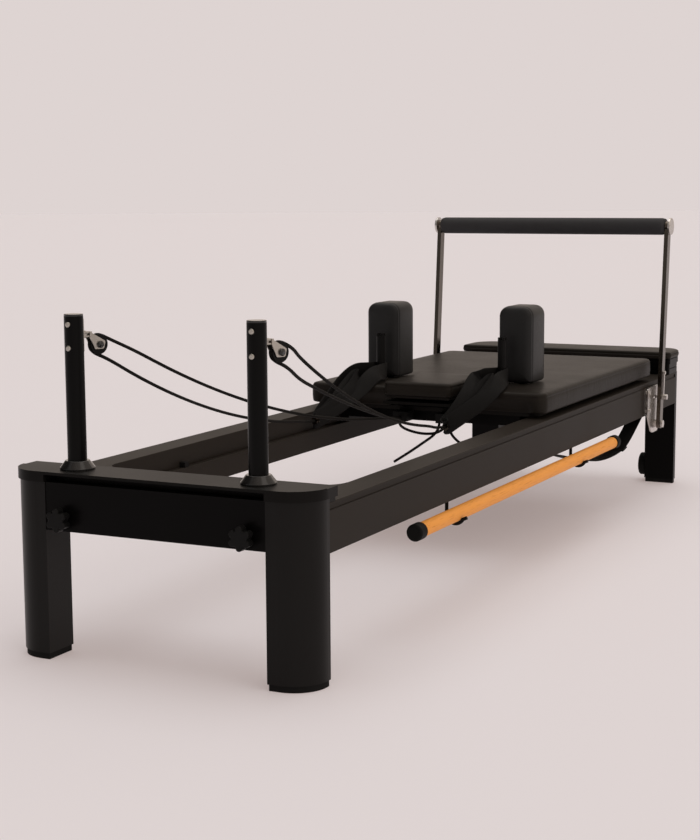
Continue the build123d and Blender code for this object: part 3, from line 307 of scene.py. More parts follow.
def finishes():
    """Every finish of the machine, its darkest tone first and then its lightest. The frame paint and the beam
    paint are lighter and darker copies of the legs' black paint, as painted light and painted shade.
    """
    return {
        # painted light: the same black paint as the legs, given a lighter, warmer tone to stand in for the
        # warm light on the rails' sides and tops
        "frame_paint_painted_light": powder_coat("satin frame paint with painted light",
                                   (0.0220, 0.0184, 0.0154), (0.0300, 0.0254, 0.0213), 0.42, 0.04),
        "leg_paint": powder_coat("leg paint",
                                 (0.0060, 0.0055, 0.0052), (0.0100, 0.0092, 0.0086), 0.34, 0.13),
        # painted shade: the same black paint as the legs, made darker to stand in for the shade under the
        # head cap and the deck
        "beam_paint_painted_shade": powder_coat("beam paint darkened as painted shade",
                                  (0.0018, 0.0016, 0.0016), (0.0035, 0.0031, 0.0030), 0.32, 0.06),
        "cap_paint": powder_coat("cap paint",
                                 (0.0060, 0.0055, 0.0052), (0.0095, 0.0088, 0.0082), 0.36, 0.06),
        "post_paint": powder_coat("post paint",
                                  (0.0016, 0.0015, 0.0015), (0.0030, 0.0028, 0.0027), 0.30, 0.10),
        "pad_vinyl": vinyl("pad vinyl", (0.0150, 0.0128, 0.0108), (0.0240, 0.0208, 0.0176), 0.36, 0.05),
        "rest_vinyl": vinyl("rest vinyl", (0.0190, 0.0193, 0.0197), (0.0290, 0.0294, 0.0300), 0.32, 0.12),
        "grip_foam": foam("grip foam"),
        "nickel": brushed("nickel plate", (0.085, 0.070, 0.057), (0.150, 0.128, 0.108), 0.16),
        "bracket": brushed("bracket plate", (0.50, 0.475, 0.45), (0.68, 0.65, 0.62), 0.26),
        "zinc": brushed("zinc plate", (0.40, 0.375, 0.34), (0.56, 0.53, 0.48), 0.32),
        "steel": brushed("spring steel", (0.26, 0.26, 0.26), (0.40, 0.39, 0.38), 0.32, (1, 0.02, 1)),
        "black_plastic": moulded("black plastic", (0.005, 0.005, 0.005), (0.010, 0.0098, 0.0096), 0.42),
        "gloss_black": moulded("gloss black", (0.004, 0.004, 0.004), (0.007, 0.007, 0.007), 0.24, 1.0),
        "rubber": moulded("rubber", (0.006, 0.006, 0.006), (0.012, 0.0118, 0.0115), 0.72),
        "pole_rubber": moulded("pole cap rubber", (0.005, 0.005, 0.005), (0.009, 0.0085, 0.008), 0.6),
        "plywood": timber("stained plywood",
                          (0.012, 0.010, 0.009), (0.007, 0.006, 0.005), (0.004, 0.0035, 0.003), 0.55),
        "beech": timber("beech", (1.0, 0.440, 0.095), (0.86, 0.340, 0.062), (0.55, 0.185, 0.030), 0.46),
        "rope": braid("rope braid", (0.0025, 0.0023, 0.0022), (0.0150, 0.0135, 0.0120)),
        "webbing": weave("black webbing", (0.004, 0.004, 0.0042), (0.0130, 0.0126, 0.0122), 1900.0, 2100.0),
    }


# ------------------------------------------------------------------ mesh helpers

def add_mesh(name, points, faces, material, uvs=None, smooth=True):
    data = bpy.data.meshes.new(name)
    data.from_pydata([tuple(p) for p in points], [], faces)
    if uvs is not None:
        layer = data.uv_layers.new(name="unrolled")
        for face in data.polygons:
            for corner in face.loop_indices:
                layer.data[corner].uv = uvs[face.index][corner - face.loop_start]
    for face in data.polygons:
        face.use_smooth = smooth
    data.materials.append(material)
    data.validate()
    made = bpy.data.objects.new(name, data)
    bpy.context.scene.collection.objects.link(made)
    return made


def join(name, pieces):
    """One mesh object from several."""
    bpy.ops.object.select_all(action="DESELECT")
    for piece in pieces:
        piece.select_set(True)
    bpy.context.view_layer.objects.active = pieces[0]
    bpy.ops.object.join()
    made = bpy.context.view_layer.objects.active
    made.name = name
    made.data.name = name
    return made


def smooth_line(controls, steps=12):
    """Points of the smooth curve that has these controls."""
    data = bpy.data.curves.new("route", "CURVE")
    data.dimensions = "3D"
    data.resolution_u = steps
    spline = data.splines.new("NURBS")
    spline.points.add(len(controls) - 1)
    for point, control in zip(spline.points, controls):
        point.co = (*control, 1)
    spline.order_u = 3
    spline.use_endpoint_u = True
    holder = bpy.data.objects.new("route", data)
    bpy.context.scene.collection.objects.link(holder)
    bpy.context.view_layer.update()
    flat = bpy.data.meshes.new_from_object(holder)
    line = [v.co.copy() for v in flat.vertices]
    bpy.data.objects.remove(holder)
    bpy.data.meshes.remove(flat)
    kept = [line[0]]
    for point in line[1:]:
        if (point - kept[-1]).length > 1e-5:
            kept.append(point)
    return kept


def frames_along(line, up=Vector((0, 0, 1))):
    """A pair of directions across the line at each of its points, turning as little as it can."""
    result = []
    previous = None
    for k, point in enumerate(line):
        ahead = (line[min(k + 1, len(line) - 1)] - line[max(k - 1, 0)]).normalized()
        side = ahead.cross(up) if previous is None else previous - ahead * previous.dot(ahead)
        if side.length < 1e-6:
            side = ahead.cross(Vector((1, 0, 0)))
        side.normalize()
        previous = side
        result.append((side, ahead.cross(side).normalized()))
    return result


def tube(name, line, radius, material, sides=12, scale=None):
    """Round tube along a line, its surface unrolled in turns and metres."""
    across = frames_along(line)
    points, faces, uvs = [], [], []
    run = [0.0]
    for a, b in zip(line, line[1:]):
        run.append(run[-1] + (b - a).length)
    for k, (point, (side, other)) in enumerate(zip(line, across)):
        r = radius * (scale(k / (len(line) - 1)) if scale else 1)
        for s in range(sides):
            a = 2 * math.pi * s / sides
            points.append(point + side * (r * math.cos(a)) + other * (r * math.sin(a)))
    for k in range(len(line) - 1):
        for s in range(sides):
            n = (s + 1) % sides
            faces.append((k * sides + s, k * sides + n, (k + 1) * sides + n, (k + 1) * sides + s))
            u0, u1 = s / sides, (s + 1) / sides
            uvs.append(((u0, run[k]), (u1, run[k]), (u1, run[k + 1]), (u0, run[k + 1])))
    last = (len(line) - 1) * sides
    faces.append(tuple(reversed(range(sides))))
    uvs.append([(0, 0)] * sides)
    faces.append(tuple(last + s for s in range(sides)))
    uvs.append([(0, 0)] * sides)
    return add_mesh(name, points, faces, material, uvs)


def band(name, line, wide_way, width, thick, material, closed=False):
    """Flat strap along a line: wide_way gives the direction of its width at each point."""
    section = [(-0.5, -0.25), (-0.46, -0.5), (0.46, -0.5), (0.5, -0.25),
               (0.5, 0.25), (0.46, 0.5), (-0.46, 0.5), (-0.5, 0.25)]
    count = len(line)
    points, faces, uvs = [], [], []
    run = [0.0]
    for a, b in zip(line, line[1:] + line[:1]):
        run.append(run[-1] + (b - a).length)
    for k, point in enumerate(line):
        before = line[k - 1] if closed or k > 0 else line[0]
        after = line[(k + 1) % count] if closed or k < count - 1 else line[-1]
        ahead = (after - before).normalized()
        wide = wide_way(k)
        wide = (wide - ahead * wide.dot(ahead)).normalized()
        out = wide.cross(ahead)
        for w, t in section:
            points.append(point + wide * (w * width) + out * (t * thick))
    n = len(section)
    corners = [(w * width, t * thick) for w, t in section]
    turns = [sum(math.dist(corners[i], corners[(i + 1) % n]) for i in range(j)) for j in range(n + 1)]
    for k in range(count if closed else count - 1):
        for s in range(n):
            m = (s + 1) % n
            a, b = k * n, ((k + 1) % count) * n
            faces.append((a + s, a + m, b + m, b + s))
            uvs.append(((turns[s], run[k]), (turns[s + 1], run[k]),
                        (turns[s + 1], run[k + 1]), (turns[s], run[k + 1])))
    if not closed:
        last = (count - 1) * n
        faces.append(tuple(reversed(range(n))))
        uvs.append([(0, 0)] * n)
        faces.append(tuple(last + s for s in range(n)))
        uvs.append([(0, 0)] * n)
    return add_mesh(name, points, faces, material, uvs)


def ring_of(corners, inset, arc_steps=6, edge_steps=10):
    """Outline of a square-cornered plan, moved inwards: corners are (x, y, radius), anticlockwise."""
    count = len(corners)
    shifted = []
    for i, (x, y, r) in enumerate(corners):
        px, py, _ = corners[i - 1]
        nx, ny, _ = corners[(i + 1) % count]
        first = Vector((x - px, y - py)).normalized()
        second = Vector((nx - x, ny - y)).normalized()
        inward = Vector((-first.y, first.x)) + Vector((-second.y, second.x))
        hollow = first.x * second.y - first.y * second.x < 0
        radius = r + inset if hollow else max(r - inset, 0.0015)
        shifted.append((Vector((x, y)) + inward * inset, first, second, radius, hollow))
    points = []
    for i, (corner, first, second, radius, hollow) in enumerate(shifted):
        start = corner - first * radius
        centre = start + Vector((-first.y, first.x)) * (-radius if hollow else radius)
        spoke = start - centre
        for k in range(arc_steps + 1):
            a = math.radians(90) * k / arc_steps * (-1 if hollow else 1)
            points.append(centre + Vector((spoke.x * math.cos(a) - spoke.y * math.sin(a),
                                           spoke.x * math.sin(a) + spoke.y * math.cos(a))))
        end = points[-1]
        following, ahead, _, next_radius, _ = shifted[(i + 1) % count]
        goal = following - ahead * next_radius
        for k in range(1, edge_steps):
            points.append(end.lerp(goal, k / edge_steps))
    return points


def cushion(name, corners, profile, material, place=Matrix.Identity(4), edge_steps=10):
    """Upholstered block: the plan is carried along a profile of (inset, height), and both ends are closed."""
    rings = [[Vector((p.x, p.y, height)) for p in ring_of(corners, inset, edge_steps=edge_steps)]
             for inset, height in profile]
    count = len(rings[0])
    points = [p for ring in rings for p in ring]
    faces = []
    for k in range(len(rings) - 1):
        for s in range(count):
            n = (s + 1) % count
            faces.append((k * count + s, k * count + n, (k + 1) * count + n, (k + 1) * count + s))
    last = (len(rings) - 1) * count
    faces.append(tuple(reversed(range(count))))
    faces.append(tuple(last + s for s in range(count)))
    made = add_mesh(name, points, faces, material)
    build = bmesh.new()
    build.from_mesh(made.data)
    ends = [f for f in build.faces if len(f.verts) > 4]
    bmesh.ops.triangulate(build, faces=ends, quad_method="BEAUTY", ngon_method="BEAUTY")
    build.to_mesh(made.data)
    build.free()
    for face in made.data.polygons:
        face.use_smooth = True
    made.matrix_world = place
    return made


def pad_profile(bottom, top, soft=0.012, crown=0.002, tuck=0.004, seam=0.011):
    """Side of an upholstered pad: tucked under, a full side, a sewn line, a rolled edge and a crown."""
    tall = top - bottom
    return [(0.030, bottom + 0.0006), (tuck + 0.004, bottom), (tuck * 0.35, bottom + 0.0022),
            (0.0006, bottom + 0.006), (-0.0006, bottom + tall * 0.35), (-0.0004, bottom + tall * 0.6),
            (0.0002, top - seam - 0.0030), (0.0012, top - seam - 0.0008), (0.0012, top - seam + 0.0004),
            (0.0003, top - seam + 0.0022), (soft * 0.16, top - soft * 0.56), (soft * 0.42, top - soft * 0.24),
            (soft * 0.85, top - soft * 0.06), (soft * 1.6, top + crown * 0.15),
            (soft * 3.0, top + crown * 0.6), (soft * 5.0, top + crown)]


# ------------------------------------------------------------------ ropes

ROPE_D = 0.007
SEAM_Y = HEAD_Y + 0.262       # where the part of a rope that goes with its pulley ends
ROPE_ON, ROPE_OFF = 155, 338  # where a rope reaches and leaves its wheel, in degrees
PULLEY_X = 0.205              # swivel of each pulley, out from the middle
PULLEY_Y = 0.087              # the same swivel, behind the head leg plane
PULLEY_REACH = 0.032          # wheel's axle, out from its swivel
PULLEY_Z = 0.6235
PULLEY_YAW = math.radians(20)
LEAD_IN = 0.042               # straight rope before and after the wheel
KNOT_BACK = 0.016             # stopper knot, behind its eyelet


def hanging(start, end, sag, runs):
    """Controls of a slack span between two points, both included."""
    points = []
    for k in range(runs + 1):
        t = k / runs
        x, y, z = [a + (b - a) * t for a, b in zip(start, end)]
        points.append((x, y, z - 4 * sag * t * (1 - t)))
    return points


def wheel_corners(side, track=0.0196):
    """Controls round the pulley's wheel, with a short straight lead at each side."""
    turn = (ROPE_OFF - ROPE_ON) / 3
    reach = track / math.cos(math.radians(turn / 2))
    flat = []
    for k in range(3):
        a = math.radians(ROPE_ON + (k + 0.5) * turn - 90)
        flat.append((PULLEY_REACH + reach * math.cos(a), PULLEY_Z + reach * math.sin(a)))
    for end, angle, way in ((0, ROPE_ON, -1), (-1, ROPE_OFF, 1)):
        out, z = flat[end]
        a = math.radians(angle)
        lead = (out + way * LEAD_IN * math.cos(a), z + way * LEAD_IN * math.sin(a))
        flat = [lead] + flat if end == 0 else flat + [lead]
    return [(side * PULLEY_X + math.sin(PULLEY_YAW) * out, PULLEY_Y + math.cos(PULLEY_YAW) * out, z)
            for out, z in flat]


LOOPS = {
    "left": {"peg": (-0.173, 1.400, 0.442), "tip": (-0.240, 1.140, 0.336), "lead": 0.034},
    "right": {"peg": (0.173, 1.400, 0.442), "tip": (0.100, 1.196, 0.332), "lead": 0.030},
}


def loop_heading(name):
    """Level direction from a loop's peg to its tip, and how far apart they are."""
    peg, tip = Vector(LOOPS[name]["peg"]), Vector(LOOPS[name]["tip"])
    flat = Vector((tip.x - peg.x, tip.y - peg.y, 0))
    return flat.normalized(), flat.length


def eyelet_route(name):
    """In line with the eyelet, and in the knot behind it."""
    heading, _ = loop_heading(name)
    tip = Vector(LOOPS[name]["tip"])
    return [tuple(tip + heading * LOOPS[name]["lead"]), tuple(tip - heading * KNOT_BACK)]


def rope_routes():
    """Each route runs from the head leg plane, in metres: X, distance behind that plane, Z."""
    left_upper = [(-0.060, 1.308, 0.338), (-0.060, 1.262, 0.338)]
    left_upper += hanging((-0.063, 1.190, 0.346), (-0.185, 0.236, 0.600), 0.048, 10)
    left_lower = hanging((-0.192, 0.236, 0.552), (-0.238, 1.060, 0.344), 0.030, 9)
    right_upper = list(reversed(eyelet_route("right")))
    right_upper += hanging((0.094, 1.110, 0.345), (0.196, 0.236, 0.602), 0.034, 9)
    right_lower = hanging((0.196, 0.236, 0.558), (-0.002, 1.140, 0.350), 0.010, 9)
    slack = [(-0.028, 1.204, 0.341), (-0.046, 1.236, 0.329), (-0.050, 1.266, 0.312), (-0.028, 1.288, 0.299),
             (0.004, 1.293, 0.295), (0.036, 1.296, 0.299), (0.059, 1.300, 0.317), (0.059, 1.300, 0.342)]
    return {
        "left": left_upper + wheel_corners(-1) + left_lower + eyelet_route("left"),
        "right": right_upper + wheel_corners(1) + right_lower + slack,
    }


ROPE_TAILS = {
    "left": [(0.047, 1.284, 0.340), (0.047, 1.284, 0.318), (0.036, 1.276, 0.297), (0.012, 1.268, 0.279),
             (-0.017, 1.264, 0.258), (-0.046, 1.266, 0.239), (-0.075, 1.270, 0.221)],
    "right": [(0.073, 1.284, 0.340), (0.073, 1.284, 0.318), (0.084, 1.276, 0.299), (0.106, 1.268, 0.284),
              (0.133, 1.266, 0.270), (0.158, 1.270, 0.251), (0.172, 1.278, 0.225)],
}


def on_frame(points):
    return [Vector((x, HEAD_Y + y, z)) for x, y, z in points]


def length_of(line):
    return sum((b - a).length for a, b in zip(line, line[1:]))


def cut_at_seam(line):
    """The three lengths of a rope: to the seam, round the pulley, and from the seam on."""
    near = [k for k, point in enumerate(line) if point.y < SEAM_Y]
    first, last = near[0], near[-1]
    return line[:first + 1], line[first:last + 1], line[last:]


def rope_piece(name, line, finish):
    made = tube(name, line, ROPE_D / 2, finish, sides=12)
    length_of(line)
    return made


def stopper_knot(name, centre, along, finish):
    """Overhand knot pulled up small: a short coil of the same rope."""
    side = along.cross(Vector((0, 0, 1))).normalized()
    up = side.cross(along)
    line = []
    for k in range(64):
        t = k / 63
        a = 2 * math.pi * 2.2 * t
        swell = 0.0042 * (1 - 0.25 * math.cos(2 * math.pi * t))
        line.append(centre + along * (0.012 * (t - 0.5)) + side * (swell * math.cos(a))
                    + up * (swell * math.sin(a)))
    return tube(name, line, 0.0030, finish, sides=10)


def ropes(finish):
    for name, route in rope_routes().items():
        line = smooth_line(on_frame(route), 10)
        start, wheel, end = cut_at_seam(line)
        near, far = ("cleat", "loop") if name == "left" else ("loop", "cleat")
        first = rope_piece(f"rope_{name}_to_{near}", start, finish)
        middle = rope_piece(f"rope_{name}_over_pulley", wheel, finish)
        stop = "knot" if far == "loop" else "object"
        last = rope_piece(f"rope_{name}_to_{far}", end, finish)
        for piece in (first, last):
            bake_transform(piece)
        "post_" + name
        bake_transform(middle)
        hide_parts("rope_" + name)
        heading, _ = loop_heading(name)
        tip = on_frame([LOOPS[name]["tip"]])[0]
        knot = stopper_knot(f"rope_{name}_knot", tip - heading * KNOT_BACK, heading, finish)
        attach(knot, "carriage")
    for name, route in ROPE_TAILS.items():
        line = smooth_line(on_frame(route), 10)
        tail = rope_piece(f"rope_tail_{name}_end", line, finish)
        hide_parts("rope_tail_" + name)
        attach(tail, "carriage")


# ------------------------------------------------------------------ pulley hubs

def pulley_hub(name, side, finish):
    """Black bush over the axle end on both cheeks of a pulley."""
    inner, proud, radius = 0.0084, 0.0032, 0.0072
    axis = Vector((math.cos(PULLEY_YAW), -math.sin(PULLEY_YAW), 0))
    centre = Vector((side * PULLEY_X + math.sin(PULLEY_YAW) * PULLEY_REACH,
                     HEAD_Y + PULLEY_Y + math.cos(PULLEY_YAW) * PULLEY_REACH, PULLEY_Z))
    parts = []
    for way in (-1, 1):
        line = [centre + axis * way * (inner + proud * k / 3) for k in range(4)]
        parts.append(tube("hub", line, radius, finish, sides=18))
    hub = join(f"pulley_hub_{name}", parts)
    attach(hub, "pulley_block_" + name)


# ------------------------------------------------------------------ webbing

# Each loop's two sides run from its peg to its tip, and a smaller loop is sewn in at the tip: X, distance
# behind the head leg plane and Z, in metres.
LOOP_SIDES = {
    "right": {
        "near": [(0.187, 1.404, 0.442), (0.196, 1.360, 0.442), (0.203, 1.318, 0.444),
                 (0.201, 1.283, 0.429), (0.186, 1.256, 0.404), (0.160, 1.232, 0.380),
                 (0.130, 1.212, 0.356), (0.107, 1.199, 0.338)],
        "far": [(0.160, 1.404, 0.443), (0.148, 1.360, 0.446), (0.141, 1.325, 0.448), (0.141, 1.290, 0.441),
                (0.142, 1.260, 0.420), (0.134, 1.234, 0.392), (0.118, 1.212, 0.360),
                (0.101, 1.200, 0.338)],
        "inner": [(0.110, 1.203, 0.341), (0.134, 1.226, 0.368), (0.154, 1.252, 0.398),
                  (0.166, 1.282, 0.428), (0.180, 1.310, 0.446), (0.192, 1.298, 0.443),
                  (0.186, 1.270, 0.420), (0.166, 1.244, 0.390), (0.138, 1.222, 0.362),
                  (0.112, 1.203, 0.340)],
        "tip": (0.1005, 1.1965, 0.333),
    },
    "left": {
        "near": [(-0.159, 1.404, 0.442), (-0.152, 1.360, 0.442), (-0.150, 1.318, 0.444),
                 (-0.155, 1.283, 0.430), (-0.166, 1.256, 0.407), (-0.184, 1.226, 0.388),
                 (-0.206, 1.190, 0.366), (-0.226, 1.158, 0.347), (-0.236, 1.143, 0.338)],
        "far": [(-0.187, 1.404, 0.443), (-0.200, 1.360, 0.446), (-0.212, 1.325, 0.448),
                (-0.222, 1.290, 0.440), (-0.229, 1.258, 0.421), (-0.236, 1.222, 0.396),
                (-0.240, 1.188, 0.370), (-0.242, 1.158, 0.348), (-0.241, 1.143, 0.338)],
        "inner": [(-0.234, 1.150, 0.341), (-0.222, 1.176, 0.362), (-0.208, 1.210, 0.390),
                  (-0.198, 1.250, 0.424), (-0.190, 1.284, 0.444), (-0.180, 1.278, 0.440),
                  (-0.182, 1.246, 0.414), (-0.200, 1.204, 0.382), (-0.220, 1.170, 0.356),
                  (-0.233, 1.150, 0.340)],
        "tip": (-0.2402, 1.1405, 0.336),
    },
}
STRAP_WIDTH = 0.043
STRAP_THICK = 0.0032
INNER_THICK = 0.0028


def strap_loop(name, finish):
    """Wide webbing round the peg, lying over the edge of the deck, with the small loop inside it."""
    sides = LOOP_SIDES[name]
    heading, length = loop_heading(name)
    across = Vector((-heading.y, heading.x, 0))
    peg = on_frame([LOOPS[name]["peg"]])[0]
    behind = [(LOOPS[name]["peg"][0] + across.x * d, LOOPS[name]["peg"][1] + 0.0155 + abs(d) * -0.35, 0.4425)
              for d in (-0.0105, 0.0, 0.0105)]
    pieces = []

    def lean_at(point, most):
        along = min(max((point - peg).dot(heading) / length, 0), 1)
        out = (point - peg).dot(across)
        ripple = 0.10 * math.sin(along * 21 + out * 60)
        swell = math.sin(math.pi * along)
        return (swell ** 0.8 * most + ripple * swell) * (1 if out > 0 else -0.35)

    def wide_along(line, most):
        def wide(k):
            lean = lean_at(line[k], most)
            return Vector((0, 0, math.cos(lean))) - across * math.sin(lean)
        return wide

    outer = [behind[1], behind[2]] + sides["near"] + [sides["tip"]]
    outer += sides["far"][::-1] + [behind[0], behind[1]]
    if sides["near"][0][0] <= sides["far"][0][0]:
        outer = outer[::-1]
    line = smooth_line(on_frame(outer), 10)[:-1]
    pieces.append(band("loop outer", line, wide_along(line, 0.80), STRAP_WIDTH, STRAP_THICK, finish,
                       closed=True))
    line = smooth_line(on_frame(sides["inner"]), 10)
    pieces.append(band("loop inner", line, wide_along(line, 0.45), STRAP_WIDTH * 0.74, INNER_THICK, finish))
    made = join(f"strap_loop_{name}_webbing", pieces)
    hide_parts("strap_loop_" + name)
    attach(made, "carriage")


SLING_X = 0.299
SLING_WIDTH = 0.041
SLING_THICK = 0.0026
SLING_ENDS_Z = 0.2525         # middle of the webbing where it meets the rail
SLING_SIDE = [(1.352, SLING_ENDS_Z), (1.400, 0.2465), (1.480, 0.231), (1.560, 0.2125), (1.640, 0.196),
              (1.715, 0.182), (1.790, 0.172), (1.875, 0.168), (1.960, 0.170), (2.010, 0.176), (2.040, 0.184),
              (2.085, 0.201), (2.130, 0.222), (2.196, SLING_ENDS_Z)]
BUCKLE_Y = HEAD_Y + 2.0


def sling(webbing, plastic):
    """Webbing foot strap slung under the right rail, with its slide buckle."""
    line = smooth_line(on_frame([(SLING_X, y, z) for y, z in SLING_SIDE]), 8)
    strap = band("under_strap_webbing", line, lambda k: Vector((1, 0, 0)), SLING_WIDTH, SLING_THICK, webbing)
    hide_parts("under_strap")
    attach(strap, "frame")

    def nearest(y):
        return min(line, key=lambda p: abs(p.y - y))

    middle = nearest(BUCKLE_Y).y
    bars = []
    for dy in (-0.016, 0.0, 0.016):
        z = nearest(middle + dy).z
        ends = [Vector((0.277, middle + dy, z)), Vector((0.321, middle + dy, z))]
        bar = [ends[0].lerp(ends[1], k / 6) for k in range(7)]
        bars.append(tube("buckle bar", bar, 0.0026, plastic, sides=10))
    for x in (0.2765, 0.3215):
        edge = [Vector((x, middle + dy, nearest(middle + dy).z))
                for dy in (-0.018, -0.009, 0.0, 0.009, 0.018)]
        bars.append(tube("buckle edge", edge, 0.0028, plastic, sides=10))
    buckle = join("under_strap_buckle", bars)
    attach(buckle, "frame")


# ------------------------------------------------------------------ springs

SPRING_Z = 0.294
SPRING_FRONT, SPRING_BACK = HEAD_Y + 1.924, HEAD_Y + 2.404
SPRING_TURNS = 72
COIL_RADIUS, WIRE_RADIUS = 0.0090, 0.0016
HOOK_ROOM = 0.030             # length that the hook takes at each end
HOOK = ((0, 0.002, 0), (0, 0.012, 0), (0, 0.022, 0.0015), (0.004, 0.028, 0.005), (0.009, 0.031, 0))


def springs(finish):
    """Wound springs with a hook at each end, between the bar and the carriage."""
    coils = []
    front, back = SPRING_FRONT, SPRING_BACK
    steps = SPRING_TURNS * 12
    for x in (-0.160, -0.080, 0.0, 0.080, 0.160):
        line = []
        for k in range(steps + 1):
            t = k / steps
            a = 2 * math.pi * SPRING_TURNS * t
            line.append(Vector((x + COIL_RADIUS * math.cos(a),
                                front + HOOK_ROOM + (back - front - 2 * HOOK_ROOM) * t,
                                SPRING_Z + COIL_RADIUS * math.sin(a))))
        coils.append(tube("coil", line, WIRE_RADIUS, finish, sides=6))
        for y, way in ((front, 1), (back, -1)):
            hook = [Vector((x + out, y + way * on, SPRING_Z + up)) for out, on, up in HOOK]
            coils.append(tube("hook", hook, 0.0018, finish, sides=8))
    made = join("springs_wound", coils)
    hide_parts("springs")
    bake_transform(made)


# ------------------------------------------------------------------ pads

def box_corners(x0, x1, y0, y1, front, back):
    """Corners of a rectangular plan, with one radius for its two front corners and one for its back ones."""
    return [(x0, y0, front), (x1, y0, front), (x1, y1, back), (x0, y1, back)]


def deck_pad(finish):
    """Main pad, notched for the headrest, its lower front edge drawn back over the board."""
    y0, y1 = HEAD_Y + 1.285, HEAD_Y + 2.240
    notch, notch_back = 0.101, HEAD_Y + 1.497
    corners = [(-0.330, y0, 0.026), (-notch, y0, 0.012), (-notch, notch_back, 0.012),
               (notch, notch_back, 0.012), (notch, y0, 0.012), (0.330, y0, 0.026),
               (0.330, y1, 0.026), (-0.330, y1, 0.026)]
    made = cushion("carriage_deck_pad", corners, pad_profile(0.363, 0.416, soft=0.010, crown=0.0012), finish,
                   edge_steps=16)
    fold_top, fold_reach, fold_half, drawn_back = 0.384, 0.020, 0.290, 0.024
    for vertex in made.data.vertices:
        co = vertex.co
        if co.z < fold_top and co.y < y0 + fold_reach and abs(co.x) < fold_half:
            co.y = y0 + drawn_back
    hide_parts("carriage_pad")
    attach(made, "carriage")


def headrest(finish):
    """Narrow pad that tilts in the deck's notch."""
    y0, y1 = HEAD_Y + 1.240, HEAD_Y + 1.480
    made = cushion("headrest_cushion", box_corners(-0.093, 0.093, y0, y1, 0.016, 0.014),
                   pad_profile(0.398, 0.434, soft=0.009, crown=0.0016, seam=0.009), finish, edge_steps=14)
    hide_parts("headrest_pad")
    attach(made, "headrest")


def platform(finish):
    """Thin standing pad at the foot end, with big outer corners."""
    y1 = HEAD_Y + 2.548
    y0 = y1 - 0.162
    made = cushion("platform_cushion", box_corners(-0.344, 0.344, y0, y1, 0.012, 0.072),
                   pad_profile(0.398, 0.420, soft=0.007, crown=0.0010, seam=0.008), finish, edge_steps=14)
    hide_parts("platform_pad")
    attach(made, "frame")


def shoulder_rest(name, side, finish, metal):
    """Upright block with big upper corners, and the steel stem it slides on."""
    x, y = side * 0.190, HEAD_Y + 1.499
    wide, deep, bottom, tall = 0.092, 0.118, 0.420, 0.200
    corners = [(-wide / 2, 0, 0.008), (wide / 2, 0, 0.008), (wide / 2, tall, 0.026), (-wide / 2, tall, 0.026)]
    half = deep / 2
    profile = []
    edge = [(0.036, -0.0015), (0.024, -0.0008), (0.016, 0.0002), (0.010, 0.0018), (0.0055, 0.0048),
            (0.0022, 0.0090), (0.0012, 0.0122), (0.0018, 0.0136), (0.0018, 0.0148), (0.0006, 0.0166),
            (0.0, 0.0230)]     # inset, and depth in from the face
    for sign, order in ((-1, 1), (1, -1)):
        profile += [(inset, sign * (half - depth)) for inset, depth in edge[::order]]
    upright = Matrix(((1, 0, 0, x), (0, 0, 1, y), (0, 1, 0, bottom), (0, 0, 0, 1)))
    made = cushion(f"shoulder_rest_{name}_pad", corners, profile, finish, upright, edge_steps=10)
    made.data.flip_normals()
    stem_foot, stem_long = 0.356, 0.065
    stem = [Vector((x, y, stem_foot + stem_long * k / 8)) for k in range(9)]
    rod = tube(f"shoulder_rest_{name}_stem", stem, 0.0089, metal, sides=20)
    for piece, slot in ((made, "pad_vinyl"), (rod, "nickel")):
        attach(piece, "shoulder_rest_" + name)
    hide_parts("shoulder_rest_" + name)


GRIP_LONG = 0.7156
GRIP_RADIUS = 0.0249
BAR_HEIGHT = 0.585            # middle of the grip, from the footbar's pivot


def grip(finish):
    """Foam sleeve on the footbar, turned down a little where it meets the arms."""
    lean = math.radians(5)
    pivot = Vector((0, HEAD_Y + 2.207, 0.225))
    centre = pivot + Vector((0, math.sin(lean), math.cos(lean))) * BAR_HEIGHT
    line = [centre + Vector((-GRIP_LONG / 2 + GRIP_LONG * k / 80, 0, 0)) for k in range(81)]

    def girth(t):
        edge = min(t, 1 - t) * GRIP_LONG
        return 1 - 0.10 * math.exp(-((edge / 0.004) ** 2)) if edge < 0.02 else 1.0

    made = tube("footbar_foam_grip", line, GRIP_RADIUS, finish, sides=40, scale=girth)
    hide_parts("footbar_grip")
    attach(made, "footbar")


# ------------------------------------------------------------------ finishes on the turned and welded pieces

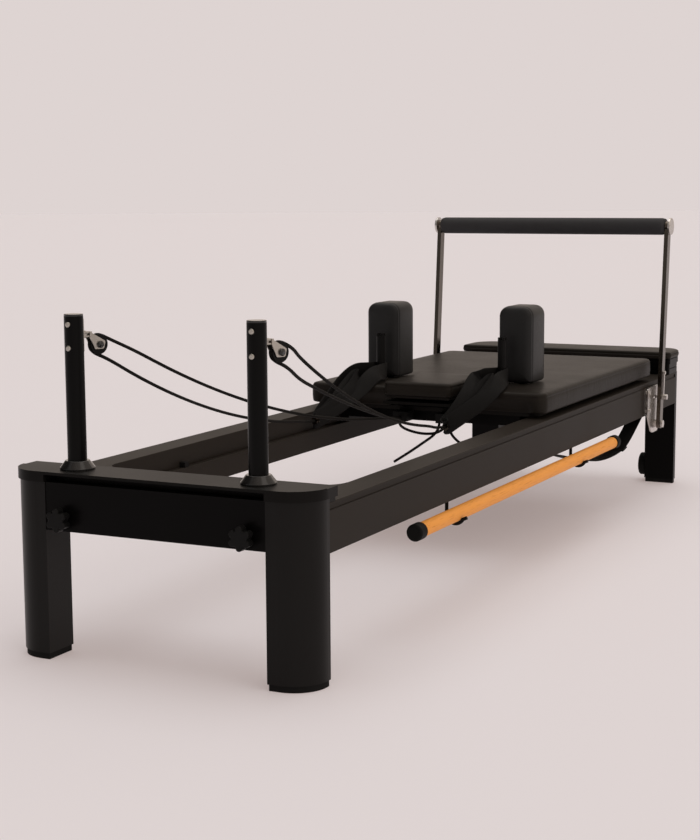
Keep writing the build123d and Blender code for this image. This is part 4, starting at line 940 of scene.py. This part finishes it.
NODE_FINISH = {
    # the rails and the cross plate take the black paint lightened as painted light
    "frame_paint_painted_light": ["rail_left", "rail_right", "head_cross_plate"],
    "leg_paint": ["legs_head"],
    # the beams, foot legs, board, spring bar and carriage frame take the black paint darkened as painted
    # shade
    "beam_paint_painted_shade": ["head_beam", "foot_beam", "legs_foot", "platform_board", "spring_bar", "carriage_frame"],
    "bracket": ["footbar_bracket_left", "footbar_bracket_right", "footbar_lock_left", "footbar_lock_right",
                "footbar_end_caps"],
    "cap_paint": ["head_cap", "headrest_shelf"],
    "post_paint": ["post_left", "post_right"],
    "gloss_black": ["post_collars", "post_plug_left", "post_plug_right"],
    "black_plastic": ["post_knob_left", "post_knob_right", "pulley_wheel_left", "pulley_wheel_right",
                      "strap_pegs", "rope_cleats", "carriage_wheels_front", "carriage_wheels_rear"],
    "zinc": ["pulley_mount_left", "pulley_mount_right", "pulley_block_left", "pulley_block_right"],
    "nickel": ["footbar_frame", "loop_eyelets", "transport_axles"],
    "rubber": ["leg_pads", "carriage_stops", "transport_wheel_left", "transport_wheel_right"],
    "pole_rubber": ["pole_caps", "pole_hooks"],
    "plywood": ["carriage_board", "headrest_board"],
    "beech": ["pole"],
}


def dress_nodes(made):
    """Each turned, welded or moulded piece gets its finish."""
    for finish, names in NODE_FINISH.items():
        for name in names:
            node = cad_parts[name]
            node.data.materials.clear()
            node.data.materials.append(made[finish])


def floor():
    """Pale seamless floor that the machine stands on: it glows a little, as a floor in a white room does."""
    f = Finish("studio floor")
    cloud = f.noise(0.8, 2, 0.5)
    material = f.set(Base_Color=f.tint(cloud, FLOOR_TONE, [c * 1.01 for c in FLOOR_TONE]),
                     Roughness=cloud * 0.1 + 0.8, Specular_IOR_Level=0.1,
                     Emission_Color=FLOOR_GLOW, Emission_Strength=1.0)
    reach, z = 60, -0.0005
    points = [(-reach, -reach, z), (reach, -reach, z), (reach, reach, z), (-reach, reach, z)]
    made = add_mesh("studio_floor", points, [(0, 1, 2, 3)], material, smooth=False)


def main():
    camera()
    made = finishes()
    ropes(made["rope"])
    studio()
    floor()
    dress_nodes(made)
    for name, side in SIDES:
        pulley_hub(name, side, made["gloss_black"])
        strap_loop(name, made["webbing"])
    sling(made["webbing"], made["black_plastic"])
    springs(made["steel"])
    deck_pad(made["pad_vinyl"])
    headrest(made["pad_vinyl"])
    platform(made["pad_vinyl"])
    for name, side in SIDES:
        shoulder_rest(name, side, made["rest_vinyl"], made["nickel"])
    grip(made["grip_foam"])


main()
